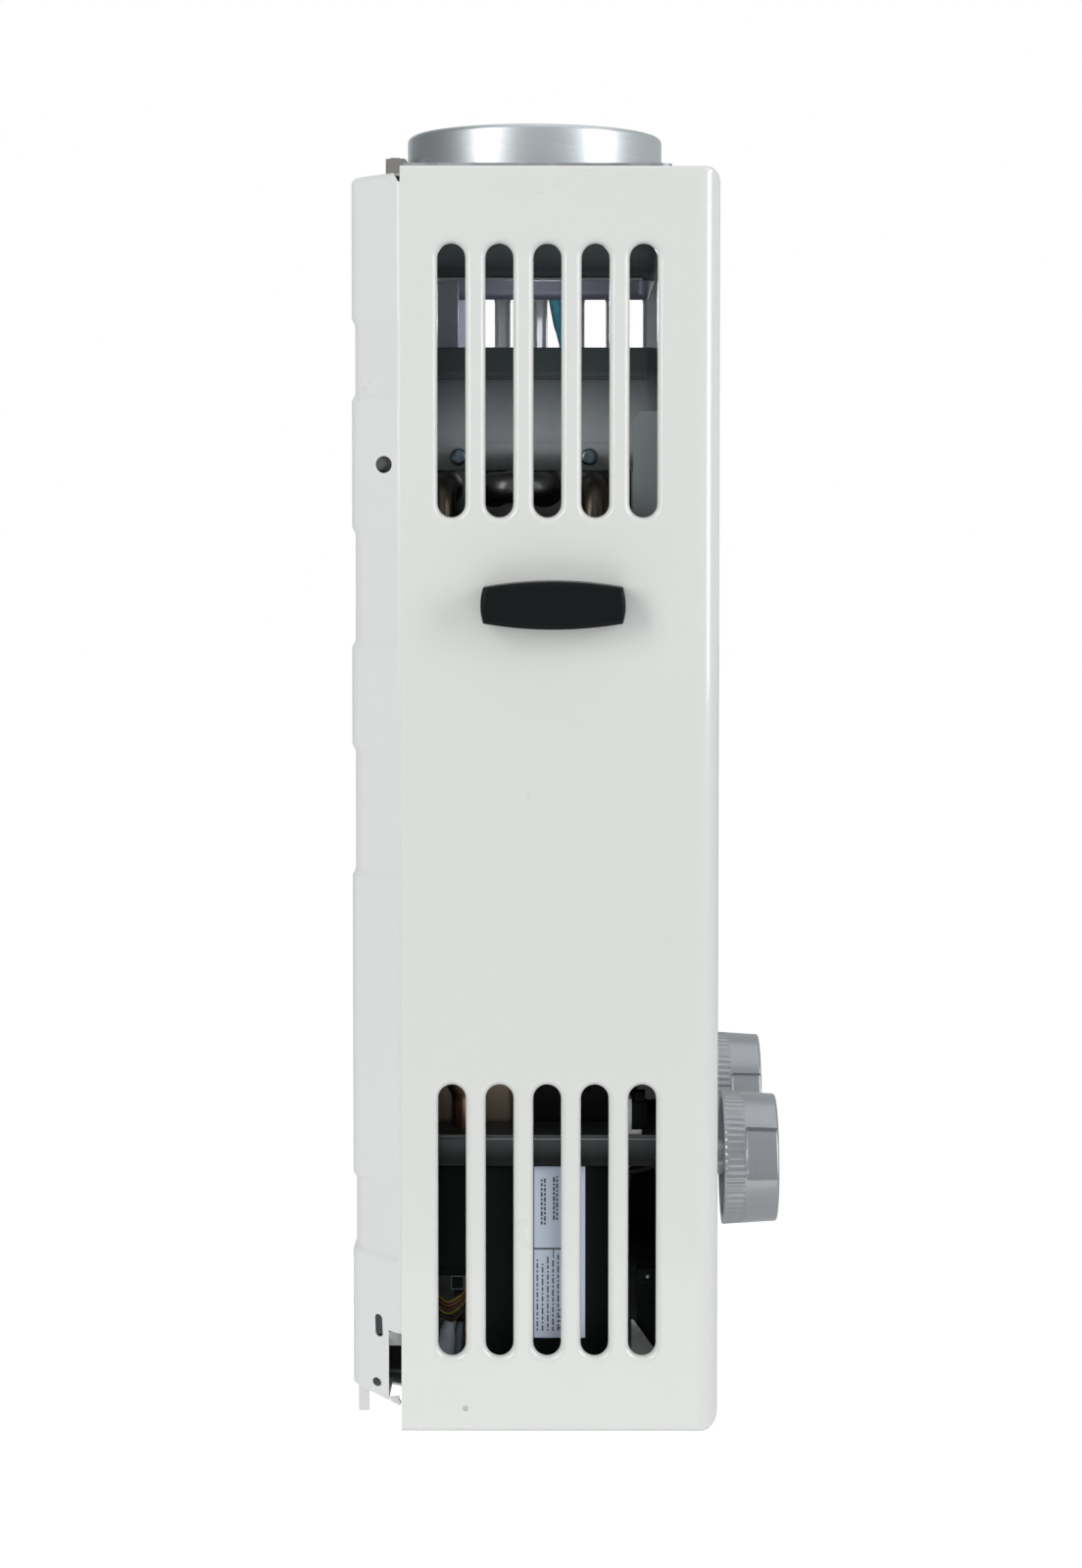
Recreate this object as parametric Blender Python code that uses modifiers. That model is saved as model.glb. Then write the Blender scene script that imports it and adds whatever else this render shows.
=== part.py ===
"""A wall-hung tankless gas water heater, modelled as an assembly of its separate pieces.

Sizes are in metres and +Z is up. The wall is the plane Y = 0 and the front faces -Y. Pieces are
placed by three distances: x across from the centreline, forward from the cover's rear edge, and
up from the bottom of the casing. The frame's origin is on the wall face at HANG_HEIGHT.
"""

import math

import bmesh
import bpy
from mathutils import Matrix, Quaternion, Vector

# Casing
CASE_WIDTH = 0.330
CASE_HEIGHT = 0.550
COVER_DEPTH = 0.138
PAN_DEPTH = 0.0231
HANG_HEIGHT = 0.516
SHEET = 0.001
PLATE = 0.0015
GAP = 0.0003
OVERRUN = 0.002
COVER_HALF = CASE_WIDTH / 2

# Facet counts
ROUND_SIDES = 16
LARGE_ROUND_SIDES = 32
SMALL_ROUND_SIDES = 10
CORNER_STEPS = 2
BEND_STEPS = 3

# Front cover
FRONT_EDGE_RADIUS = 0.0062
SIDE_EDGE_RADIUS = 0.0018
BOTTOM_FLANGE = 0.012
COVER_EDGE_SEGMENTS = 3
SLOT_COUNT = 5
SLOT_WIDTH = 0.012
SLOT_PITCH = 0.0207
FIRST_SLOT = 0.0219
UPPER_SLOT_DROP = 0.0333
UPPER_SLOT_LENGTH = 0.1177
UPPER_SLOT_HIGH = CASE_HEIGHT - UPPER_SLOT_DROP
UPPER_SLOT_LOW = UPPER_SLOT_HIGH - UPPER_SLOT_LENGTH
LOWER_SLOT_LOW = 0.0329
LOWER_SLOT_HIGH = 0.1522
SLOT_RIM = 0.0031
SLOT_FLARE = 0.0022
SLOT_RIM_DEPTH = 0.0015
SLOT_STEPS = 3

# Back pan
PAN_TAPER = 0.019
PAN_LIP = 0.010
PAN_SEAM = 0.0008
PAN_TOP_DROP = 0.003
PAN_TOP = CASE_HEIGHT - PAN_TOP_DROP
PAN_BOTTOM_BACK = 0.015
PAN_BOTTOM_SLOPE = 0.18
PAN_CORNER = 0.0045
BAND_RECESS = 0.0014
BAND_SLOPE = 0.003
MIDDLE_BAND_SHARES = (0.4436, 0.5364)
SHELF_BAND_DROP = 0.0452
SHELF_BAND_HEIGHT = 0.028
SUPPORT_BAND_DROP = 0.205
SUPPORT_BAND_HEIGHT = 0.046
TOP_BAND_DROP = 0.097
TOP_BAND_HEIGHT = 0.029
PAN_HOLE_RADIUS = 0.0037
PAN_HOLE_DROP = 0.1283
PAN_HOLE_FORWARD = -0.0076
PAN_SLOT_WIDTH = 0.005
PAN_SLOT_LOW = 0.0388
PAN_SLOT_HIGH = 0.0488
PAN_SLOT_FORWARD = -0.0106
LANCE_RADIUS = 0.0027
LANCE_UP = 0.0188
LANCE_FORWARD = -0.0115
NOTCH_DEPTH = 0.0052
NOTCH_HIGH = 0.0428
NOTCH_REACH = 0.024
TAB_WIDTH = 0.014
TAB_FORWARD = -0.0211
TAB_FLANGE = 0.0048
TAB_INSET = 0.006

# Hanger on the back of the pan
HANGER_HALF_WIDTH = 0.025
HANGER_CLEARANCE = 0.003
HANGER_JOG_DROP = 0.022
HANGER_LOW = CASE_HEIGHT - TOP_BAND_DROP + TOP_BAND_HEIGHT + BAND_SLOPE + HANGER_CLEARANCE
HANGER_JOG = CASE_HEIGHT - HANGER_JOG_DROP
HANGER_JOG_RISE = 0.006
HANGER_STAND_OFF = 0.0043
HANGER_RISE = 0.0192
HANGER_TOP = CASE_HEIGHT + HANGER_RISE
HANGER_CHEEK = 0.010
HANGER_CHEEK_RISE = 0.0038
HANGER_CHEEK_LOW = CASE_HEIGHT + HANGER_CHEEK_RISE
KEYHOLE_RADIUS = 0.0045
KEYHOLE_SLOT_RADIUS = 0.0023
KEYHOLE_RISE = 0.0085
KEYHOLE_UP = CASE_HEIGHT + KEYHOLE_RISE
KEYHOLE_TRAVEL = 0.0055

# Flue collar and top plate
FLUE_RADIUS = 0.0625
FLUE_WALL = 0.001
FLUE_FORWARD = 0.054
FLUE_RISE = 0.0316
FLUE_TOP = CASE_HEIGHT + FLUE_RISE
FLUE_RIM_RADIUS = 0.004
FLUE_FOOT = 0.0045
FLUE_RIM_LAND = 0.001
PLATE_SIDE_GAP = 0.015
TOP_PLATE_HALF_WIDTH = COVER_HALF - PLATE_SIDE_GAP
TOP_PLATE_HEIGHT = 0.0025
TOP_PLATE_BACK = -0.0064
TOP_PLATE_SETBACK = 0.0207
TOP_PLATE_FRONT = COVER_DEPTH - TOP_PLATE_SETBACK
TOP_PLATE_CORNER = 0.004
PLATE_HOLE_STEP = 0.003
FLUE_CLEARANCE = 0.002
NECK_CLEARANCE = 0.0015

# Heat exchanger
EXCHANGER_SIDE_ROOM = 0.0445
EXCHANGER_HALF_WIDTH = COVER_HALF - EXCHANGER_SIDE_ROOM
EXCHANGER_BACK = 0.002
EXCHANGER_FRONT = 0.100
EXCHANGER_TOP_DROP = 0.120
EXCHANGER_HEIGHT = 0.0585
EXCHANGER_HIGH = CASE_HEIGHT - EXCHANGER_TOP_DROP
EXCHANGER_LOW = EXCHANGER_HIGH - EXCHANGER_HEIGHT
EXCHANGER_EDGE = 0.0012
EXCHANGER_WALL = 0.003
FIN_GAPS = 16
FIN_GAP_SHARE = 0.55
TUBE_RADIUS = 0.0065
TUBE_COVER = 0.0015
TUBE_COUNT = 4
FIRST_TUBE = 0.0158
TUBE_PITCH = 0.0227
TUBE_RISE = 0.040
TUBE_UP = EXCHANGER_LOW + TUBE_RISE
TUBE_STUB = 0.0035
BEND_TUBE_RADIUS = 0.0068
BEND_LEG = 0.002
BEND_ARC_STEPS = 7

# Draught hood
HOOD_CORNER = 0.006
SKIRT_CORNER = 0.002
HOOD_BACK = 0.004
SKIRT_OVERLAP = 0.0109
LEDGE_RISE = 0.0022
RIM_INSET = 0.0085
RIM_LOW_RISE = 0.0274
RIM_HEIGHT = 0.0145
RIM_REACH = 0.0125
RIM_FRONT = EXCHANGER_FRONT + RIM_REACH
HOOD_GAP = 0.0332
HOOD_INSET = 0.040
HOOD_FRONT = 0.110
SKIRT_LOW = EXCHANGER_HIGH - SKIRT_OVERLAP
LEDGE_UP = EXCHANGER_HIGH + LEDGE_RISE
RIM_HALF_WIDTH = EXCHANGER_HALF_WIDTH - RIM_INSET
RIM_LOW = LEDGE_UP + RIM_LOW_RISE
RIM_TOP = RIM_LOW + RIM_HEIGHT
HOOD_HALF_WIDTH = RIM_HALF_WIDTH - HOOD_INSET
HOOD_LOW = RIM_TOP + HOOD_GAP
HOOD_SKIRT = 0.012
HOOD_NECK_DROP = 0.009
HOOD_NECK_LOW = CASE_HEIGHT - HOOD_NECK_DROP
HOOD_POST = 0.016
HOOD_SCREW_FORWARDS = (0.0227, 0.0812)
HOOD_SCREW_RISE = 0.0059
HOOD_SCREW_UP = SKIRT_LOW + HOOD_SCREW_RISE
SCREW_RADIUS = 0.0018
SCREW_HEAD_RADIUS = 0.0038
SCREW_HEAD_HEIGHT = 0.0024

# Baffle in front of the exchanger
BAFFLE_RISE = 0.010
BAFFLE_LOW = EXCHANGER_LOW + BAFFLE_RISE
BAFFLE_TURN_IN = 0.012

# Combustion chamber, shelf and burner
SHELF_UP = 0.1222
SHELF_HALF_WIDTH = COVER_HALF - PLATE_SIDE_GAP
SHELF_SETBACK = 0.020
SHELF_FRONT = COVER_DEPTH - SHELF_SETBACK
SHELF_BACK_FLANGE = 0.023
SHELF_LIP = 0.0045
PAN_REGION_INSET = 0.027
PAN_REGION_HALF_WIDTH = COVER_HALF - PAN_REGION_INSET
CHAMBER_INSET = 0.0015
CHAMBER_HALF_WIDTH = EXCHANGER_HALF_WIDTH - CHAMBER_INSET
CHAMBER_BACK = 0.003
CHAMBER_FRONT = 0.099
CHAMBER_CORNER = 0.008
BURNER_SIDE_GAP = 0.005
BURNER_END_GAP = 0.005
BURNER_BARS = 11
BURNER_BAR_SHARE = 0.62
BURNER_BAR_LOW = 0.004
BURNER_BAR_HIGH = 0.032
BURNER_BAR_EDGE = 0.0025
BURNER_RAIL = 0.005
BURNER_RAIL_HEIGHT = 0.020
PORT_WIDTH = 0.0015
PORT_DEPTH = 0.003
AIR_SIDE_MARGIN = 0.024
AIR_HALF_WIDTH = CHAMBER_HALF_WIDTH - AIR_SIDE_MARGIN
AIR_MARGIN = 0.012
MOUTH_SIDE = 0.010
MOUTH_HEIGHT = 0.030
MANIFOLD_RADIUS = 0.006
MANIFOLD_GAP = 0.004
MANIFOLD_RISE = 0.0155
JET_RADIUS = 0.0028
JET_TIP_RADIUS = 0.0015
JET_LENGTH = 0.006
SUPPORT_HALF_WIDTH = 0.060
SUPPORT_RISE = 0.0245
SUPPORT_UP = EXCHANGER_LOW + SUPPORT_RISE
SUPPORT_FLANGE = 0.014
ELECTRODE_X = 0.020
ELECTRODE_RISE = 0.045
ELECTRODE_RADIUS = 0.0035
ELECTRODE_FLANGE_RADIUS = 0.007
ELECTRODE_OUTER = 0.016
ELECTRODE_INNER = 0.014
ELECTRODE_WIRE_RADIUS = 0.0009
ELECTRODE_WIRE = 0.008
THERMOSTAT_X = 0.045
THERMOSTAT_DROP = 0.026
THERMOSTAT_RADIUS = 0.009
THERMOSTAT_HEIGHT = 0.007
SPILL_SENSOR_FORWARD = 0.060
SPILL_SENSOR_RADIUS = 0.005
SPILL_SENSOR_HEIGHT = 0.006

# Water pipes
PIPE_RADIUS = 0.0065
PIPE_BEND = 0.014
RISER_INSET = 0.0245
RISER_X = COVER_HALF - RISER_INSET
COIL_FIRST_SHARE = 0.272
COIL_CLIMB_SHARE = 0.0963
COIL_FIRST_UP = SHELF_UP + (EXCHANGER_LOW - SHELF_UP) * COIL_FIRST_SHARE
COIL_CLIMB = (EXCHANGER_LOW - SHELF_UP) * COIL_CLIMB_SHARE
COLD_RISER_FORWARD = 0.045
COLD_OUTLET_UP = 0.085
HOT_LOWER_INSET = 0.037
HOT_LOWER_X = COVER_HALF - HOT_LOWER_INSET
HOT_LOWER_FORWARD = 0.0265
HOT_UNION_INSET = 0.069
HOT_UNION_X = COVER_HALF - HOT_UNION_INSET
HOT_JOG_LOW = 0.018
HOT_JOG_HIGH = 0.043
HOT_TURN_DROP = 0.024
HOT_TURN_LENGTH = 0.026

# Base plate and unions
BASE_REAR_FLANGE = 0.028
BASE_FRONT = SHELF_FRONT
BASE_FOOT = 0.0145
UNION_DROP = 0.020
UNION_RADIUS = 0.0104
UNION_BORE = 0.0075
UNION_FLANGE_RADIUS = 0.014
UNION_FLANGE = 0.003
UNION_NUT_RADIUS = 0.0156
UNION_NUT_HEIGHT = 0.007
UNION_HOLE_CLEARANCE = 0.0006
VALVE_FORWARD = 0.060

# Knobs and spindles
KNOB_SPACING_SHARE = 0.18788
KNOB_X = CASE_WIDTH * KNOB_SPACING_SHARE
KNOB_UP = 0.0925
KNOB_RADIUS = 0.031
KNOB_FRONT_RADIUS = 0.0295
KNOB_STAND_OFF = 0.0063
KNOB_LENGTH = 0.0264
KNOB_EDGE = 0.003
KNOB_WALL = 0.0025
KNOB_FACE = 0.006
KNOB_HUB_RADIUS = 0.008
KNOB_HUB_GAP = 0.0006
KNOB_RIDGES = 18
KNOB_RIDGE = 0.0005
KNOB_RIDGE_SHARE = 0.36
KNOB_DOME = 0.0006
SCOOP_DEPTH = 0.0022
SCOOP_HIGH = 0.0124
SCOOP_LOW = 0.0125
SCOOP_SHARE = 0.60
SCOOP_STEPS = 6
SPINDLE_RADIUS = 0.004
SPINDLE_SINK = 0.008
SPINDLE_GRIP = 0.014
SPINDLE_HOLE_CLEARANCE = 0.004

# Gas valve
GAS_BODY_HALF_WIDTH = 0.025
GAS_BODY_BACK = 0.036
GAS_BODY_FRONT = 0.088
GAS_BODY_LOW = 0.068
GAS_BODY_HIGH = 0.111
CASTING_EDGE = 0.003
VALVE_COLUMN_RADIUS = 0.013
VALVE_BOSS_RADIUS = 0.015
VALVE_BOSS = 0.013
GAS_ARM_HALF_WIDTH = 0.009
GAS_ARM_THICKNESS = 0.012
GAS_ARM_START = 0.078
GAS_ARM_TOP = 0.1123
ROD_UP = 0.080
ROD_GUIDE_RADIUS = 0.011
ROD_GUIDE = 0.021
SOLENOID_RADIUS = 0.0125
SOLENOID_LENGTH = 0.034
SOLENOID_CAP_RADIUS = 0.009
SOLENOID_CAP = 0.003

# Water valve
DIAPHRAGM_RADIUS = 0.029
DIAPHRAGM_INSET = 0.022
DIAPHRAGM_X = KNOB_X - DIAPHRAGM_INSET
DIAPHRAGM_UP = 0.080
HOUSING_THICKNESS = 0.018
COVER_THICKNESS = 0.012
COVER_HUB = 0.008
COVER_HUB_RADIUS = 0.009
COVER_SCREWS = 6
COVER_SCREW_INSET = 0.005
WATER_BODY_HALF_WIDTH = 0.017
WATER_BODY_BACK = 0.046
WATER_BODY_FRONT = 0.088
WATER_BODY_HEIGHT = 0.032
OUTLET_BOSS_RADIUS = 0.0095
OUTLET_REACH = 0.030
OUTLET_BOSS_X = KNOB_X + OUTLET_REACH
DRAIN_RADIUS = 0.005
DRAIN_HEAD_RADIUS = 0.007
DRAIN_LENGTH = 0.010
DRAIN_UP = 0.038

# Push rod and microswitch
ROD_RADIUS = 0.003
ROD_TRAVEL = 0.004
ROD_ENGAGE = 0.014
ROD_COLLAR_RADIUS = 0.006
ROD_COLLAR = 0.004
SWITCH_WIDTH = 0.012
SWITCH_HEIGHT = 0.014
SWITCH_EAR = 0.002
SWITCH_EAR_REACH = 0.009
LEVER_THICKNESS = 0.001
LEVER_WIDTH = 0.006
LEVER_OVERLAP = 0.002
LEVER_PIN_RADIUS = 0.0012
LEVER_PIN_DROP = 0.0035

# Control box
BOX_SIDE_GAP = 0.018
BOX_WIDTH = 0.038
BOX_LOW_X = BOX_SIDE_GAP - COVER_HALF
BOX_HIGH_X = BOX_LOW_X + BOX_WIDTH
BOX_BACK = 0.034
BOX_FRONT = 0.0915
BOX_TOP = 0.1145
BOX_EDGE = 0.0015

# Battery box
BATTERY_SIDE_GAP = 0.013
BATTERY_WIDTH = 0.070
BATTERY_HIGH_X = COVER_HALF - BATTERY_SIDE_GAP
BATTERY_LOW_X = BATTERY_HIGH_X - BATTERY_WIDTH
BATTERY_SETBACK = 0.015
BATTERY_DEPTH = 0.036
BATTERY_FRONT = COVER_DEPTH - BATTERY_SETBACK
BATTERY_BACK = BATTERY_FRONT - BATTERY_DEPTH
BATTERY_TOP = 0.068
BATTERY_BOTTOM = 0.0016
BATTERY_WALL = 0.0015
BATTERY_FLANGE = 0.003
CELL_RADIUS = 0.0162
CELL_LENGTH = 0.059
CELL_NUB_RADIUS = 0.0045
CELL_NUB = 0.0015
LID_THICKNESS = 0.002
LID_BARREL_RADIUS = 0.002
LID_PIN_RADIUS = 0.0012
LID_PIN_REACH = 0.004
EAR_INSET = 0.007
EAR_THICKNESS = 0.003
EAR_MARGIN = 0.0015
HINGE_OFFSET = 0.003
LID_HINGE_DROP = 0.0015

# Side handles
HANDLE_LENGTH = 0.062
HANDLE_HEIGHT = 0.0207
HANDLE_END_HEIGHT = 0.0155
HANDLE_DEPTH = 0.013
HANDLE_FORWARD = 0.066
HANDLE_DROP = 0.1884
HANDLE_UP = CASE_HEIGHT - HANDLE_DROP
HANDLE_EDGE = 0.003
HANDLE_WALL = 0.0022
HANDLE_BACK = 0.0015
HANDLE_STEPS = 8
CLIP_SPACING = 0.040
CLIP_WIDTH = 0.006
CLIP_THICKNESS = 0.003
CLIP_BARB = 0.0012

# Display window
DISPLAY_HALF_HEIGHT = 0.0105
DISPLAY_FLANGE = 0.0025
DISPLAY_KNOB_SPACE = 0.0065
DISPLAY_HALF_WIDTH = KNOB_X - KNOB_RADIUS - DISPLAY_FLANGE - DISPLAY_KNOB_SPACE
DISPLAY_PROUD = 0.002
DISPLAY_BODY = 0.012
DISPLAY_WALL = 0.0015
DISPLAY_POCKET = 0.0035
DISPLAY_EDGE = 0.0008

# Leads and their plugs
LEAD_RADIUS = 0.0015
LEAD_POINTS = 17
LEAD_EXIT = 0.010
LEAD_SWING = 0.012
LEAD_CLEARANCE = 0.007
IGNITION_UP = 0.104
BULGE = 0.006
PLUG_WIDTH = 0.008
PLUG_DEPTH = 0.006
PLUG_HEIGHT = 0.018
PLUG_EDGE_INSET = 0.006
PLUG_SETBACK = 0.016
PLUG_FORWARD = SHELF_FRONT - PLUG_SETBACK
SPILL_PLUG_FORWARD = 0.050
COVER_SCREW_X = 0.060

# Places worked out from the sizes above
COVER_INNER_X = COVER_HALF - SHEET
PAN_INNER_BACK = -(PAN_DEPTH - SHEET)
BACK_FLANGE = PAN_INNER_BACK + GAP + PLATE / 2
BASE_LOW = PAN_BOTTOM_BACK + SHEET + GAP
BASE_TOP = BASE_LOW + PLATE
SHELF_TOP = SHELF_UP + PLATE / 2
TOP_PLATE_TOP = CASE_HEIGHT + GAP + TOP_PLATE_HEIGHT
NECK_RADIUS = FLUE_RADIUS - FLUE_WALL - NECK_CLEARANCE
PLATE_HOLE_RADIUS = NECK_RADIUS - PLATE_HOLE_STEP
SKIRT_HALF_WIDTH = EXCHANGER_HALF_WIDTH + GAP + SHEET
CHAMBER_LOW = SHELF_TOP + GAP
UNION_TOP = BASE_TOP + GAP + UNION_FLANGE
COIL_OFFSET = PIPE_RADIUS + 2 * GAP
COIL_X = CHAMBER_HALF_WIDTH + COIL_OFFSET
COIL_BACK = CHAMBER_BACK - COIL_OFFSET
COIL_FRONT = CHAMBER_FRONT + COIL_OFFSET
BURNER_FRONT = CHAMBER_FRONT - SHEET - BURNER_END_GAP
BURNER_BACK = CHAMBER_BACK + SHEET + BURNER_END_GAP
BURNER_HALF_WIDTH = CHAMBER_HALF_WIDTH - SHEET - BURNER_SIDE_GAP
MANIFOLD_FORWARD = CHAMBER_FRONT + MANIFOLD_GAP + MANIFOLD_RADIUS
MANIFOLD_UP = SHELF_TOP + MANIFOLD_RISE
SPINDLE_TIP = COVER_DEPTH + KNOB_STAND_OFF + SPINDLE_GRIP
BOSS_FRONT = GAS_BODY_FRONT + VALVE_BOSS
GUIDE_END = -KNOB_X + GAS_BODY_HALF_WIDTH + ROD_GUIDE
COVER_PLATE_X = DIAPHRAGM_X - GAP - COVER_THICKNESS
LID_AXIS_FORWARD = BATTERY_BACK - HINGE_OFFSET
LID_AXIS_UP = BATTERY_BOTTOM - GAP - LID_HINGE_DROP

PARTS = bpy.data.collections.new("tankless_water_heater")
CUTTERS = bpy.data.collections.new("cutters")
HEATER = bpy.data.objects.new("heater", None)


def clear_scene():
    """Removes what the scene held and readies the two collections and the frame's empty."""
    for obj in list(bpy.data.objects):
        if obj is not HEATER:
            bpy.data.objects.remove(obj, do_unlink=True)
    bpy.context.scene.collection.children.link(PARTS)
    bpy.context.scene.collection.children.link(CUTTERS)
    HEATER.location = (0, 0, -HANG_HEIGHT)
    PARTS.objects.link(HEATER)


def make_material(name, colour, metallic, roughness):
    """A Principled material of one colour."""
    made = bpy.data.materials.new(name)
    made.use_nodes = True
    shader = made.node_tree.nodes["Principled BSDF"]
    shader.inputs["Base Color"].default_value = (*colour, 1)
    shader.inputs["Metallic"].default_value = metallic
    shader.inputs["Roughness"].default_value = roughness
    return made


ENAMEL = make_material("white_enamel", (0.86, 0.87, 0.85), 0, 0.25)
GALVANISED = make_material("galvanised_steel", (0.55, 0.57, 0.59), 1, 0.45)
ALUMINISED = make_material("aluminised_steel", (0.62, 0.66, 0.69), 1, 0.3)
HOOD_STEEL = make_material("hood_steel", (0.30, 0.33, 0.36), 1, 0.45)
COPPER = make_material("copper", (0.72, 0.45, 0.32), 1, 0.4)
TINNED = make_material("tinned_copper", (0.48, 0.50, 0.51), 1, 0.4)
BRASS = make_material("brass", (0.72, 0.58, 0.30), 1, 0.35)
CAST = make_material("cast_aluminium", (0.60, 0.61, 0.62), 1, 0.5)
STEEL = make_material("steel", (0.60, 0.61, 0.62), 1, 0.3)
SATIN = make_material("satin_silver", (0.55, 0.56, 0.57), 0.8, 0.4)
BLACK = make_material("black_plastic", (0.02, 0.02, 0.022), 0, 0.25)
WHITE_PLASTIC = make_material("white_plastic", (0.85, 0.86, 0.86), 0, 0.45)
CERAMIC = make_material("ceramic", (0.88, 0.86, 0.80), 0, 0.35)
LENS = make_material("dark_lens", (0.03, 0.04, 0.05), 0, 0.08)
CELL_WRAP = make_material("cell_wrap", (0.10, 0.12, 0.15), 0.2, 0.35)
TEAL = make_material("teal_sleeve", (0.10, 0.38, 0.45), 0, 0.5)
RED_LEAD = make_material("lead_sleeve", (0.55, 0.10, 0.07), 0, 0.5)


def at(x, forward, up):
    """The place of a point given across, forward of the cover's rear edge, and up."""
    return Vector((x, -(PAN_DEPTH + forward), up))


def add(name, mesh, surface, location=(0, 0, 0)):
    """Puts a mesh in the scene: a piece with its material, or a cutter when surface is None."""
    obj = bpy.data.objects.new(name, mesh)
    obj.location = location
    obj.parent = HEATER
    if surface is None:
        CUTTERS.objects.link(obj)
        obj.display_type = "WIRE"
        obj.hide_render = True
    else:
        PARTS.objects.link(obj)
        obj.data.materials.append(surface)
    return obj


def mesh_from(bm, name):
    """A mesh with smooth round faces from a bmesh, whose faces are turned outward if closed."""
    mesh = bpy.data.meshes.new(name)
    bm.to_mesh(mesh)
    bm.free()
    mesh.shade_smooth()
    mesh.set_sharp_from_angle(angle=math.radians(35))
    return mesh


def block(name, low, high, surface=None, edge=0):
    """An upright box between two corners given as (x, forward, up)."""
    first, second = at(*low), at(*high)
    size = Vector(abs(a - b) for a, b in zip(first, second))
    bm = bmesh.new()
    bmesh.ops.create_cube(bm, size=1, matrix=Matrix.Diagonal((*size, 1)))
    obj = add(name, mesh_from(bm, name), surface, (first + second) / 2)
    if edge:
        bevel(obj, edge)
    return obj


def rod(name, start, end, radius, surface=None, sides=ROUND_SIDES, end_radius=None):
    """A cylinder, or a cone, between two points given as (x, forward, up)."""
    first, second = at(*start), at(*end)
    along = second - first
    bm = bmesh.new()
    bmesh.ops.create_cone(
        bm,
        cap_ends=True,
        segments=sides,
        radius1=radius,
        radius2=radius if end_radius is None else end_radius,
        depth=along.length,
        matrix=Matrix.Translation((0, 0, along.length / 2)),
    )
    bm.transform(along.to_track_quat("Z", "Y").to_matrix().to_4x4())
    return add(name, mesh_from(bm, name), surface, first)


def turned(name, profile, start, direction, surface=None, sides=ROUND_SIDES, ring=False):
    """A turned piece from (radius, distance) points, listed down its outer side from the tip."""
    mesh = bpy.data.meshes.new(name)
    count = len(profile)
    links = [(i, (i + 1) % count) for i in range(count if ring else count - 1)]
    mesh.from_pydata([(radius, 0, distance) for radius, distance in profile], links, [])
    obj = add(name, mesh, surface, at(*start))
    obj.rotation_mode = "QUATERNION"
    obj.rotation_quaternion = Vector(direction).to_track_quat("Z", "Y")
    screw = obj.modifiers.new("turn", "SCREW")
    screw.steps = sides
    screw.render_steps = sides
    screw.use_merge_vertices = True
    screw.merge_threshold = 0.00001
    return obj


def tube(name, points, radius, surface, resolution=2):
    """A pipe or wire that follows points given in the heater's frame."""
    curve = bpy.data.curves.new(name, "CURVE")
    curve.dimensions = "3D"
    curve.bevel_depth = radius
    curve.bevel_resolution = resolution
    curve.use_fill_caps = True
    spline = curve.splines.new("POLY")
    spline.points.add(len(points) - 1)
    for place, point in zip(spline.points, points):
        place.co = (*point, 1)
    return add(name, curve, surface)


def rounded_route(corners, bend):
    """Points along straight runs joined by round bends at the corners."""
    corners = [at(*corner) for corner in corners]
    points = [corners[0]]
    for before, corner, after in zip(corners, corners[1:], corners[2:]):
        back = (before - corner).normalized()
        on = (after - corner).normalized()
        half = back.angle(on) / 2
        centre = corner + (back + on).normalized() * bend / math.sin(half)
        arm = corner + back * bend / math.tan(half) - centre
        turn_axis = on.cross(back)
        sweep = -(math.pi - 2 * half)
        for step in range(BEND_STEPS + 1):
            points.append(centre + Quaternion(turn_axis, -sweep * step / BEND_STEPS) @ arm)
    points.append(corners[-1])
    return points


def smooth_route(places, count):
    """Points on a smooth curve through places (x, forward, up), with straight first and last runs."""
    places = [at(*place) for place in places]
    points = [places[0]]
    spans = len(places) - 3
    for step in range(count):
        position = step / (count - 1) * spans
        span = min(int(position), spans - 1)
        t = position - span
        a, b, c, d = places[span : span + 4]
        points.append(
            b + (c - a) * t / 2 + (2 * a - 5 * b + 4 * c - d) * t**2 / 2
            + (3 * b - a - 3 * c + d) * t**3 / 2
        )
    points.append(places[-1])
    return points


def folded(name, path, half_width, surface, thickness=PLATE):
    """Sheet folded along a middle line of (forward, up) points, as wide as given each side."""
    bm = bmesh.new()
    rows = [[bm.verts.new(at(x, *point)) for point in path] for x in (-half_width, half_width)]
    for left, right, left_on, right_on in zip(rows[0], rows[1], rows[0][1:], rows[1][1:]):
        bm.faces.new((left, right, right_on, left_on))
    obj = add(name, mesh_from(bm, name), surface)
    thicken(obj, thickness, 0)
    return obj


def sheet_from_rows(name, rows, surface, closed, capped=False):
    """A sheet through rows of points, lowest row first and each counter-clockwise from above."""
    bm = bmesh.new()
    grid = [[bm.verts.new(point) for point in row] for row in rows]
    count = len(rows[0])
    for lower, upper in zip(grid, grid[1:]):
        for i in range(count if closed else count - 1):
            j = (i + 1) % count
            bm.faces.new((lower[i], lower[j], upper[j], upper[i]))
    if capped:
        bm.faces.new(grid[-1])
        bm.faces.new(grid[0][::-1])
    return add(name, mesh_from(bm, name), surface)


def rounded_rectangle(half_width, back, front, up, corner):
    """A level outline with round corners, counter-clockwise from above."""
    points = []
    for quarter, (side, end) in enumerate(((1, back), (-1, back), (-1, front), (1, front))):
        centre_x = side * (half_width - corner)
        centre_forward = end + corner if end == back else end - corner
        for step in range(CORNER_STEPS + 1):
            angle = math.pi / 2 * (quarter + step / CORNER_STEPS)
            across = centre_x + corner * math.cos(angle)
            points.append(at(across, centre_forward - corner * math.sin(angle), up))
    return points


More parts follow.
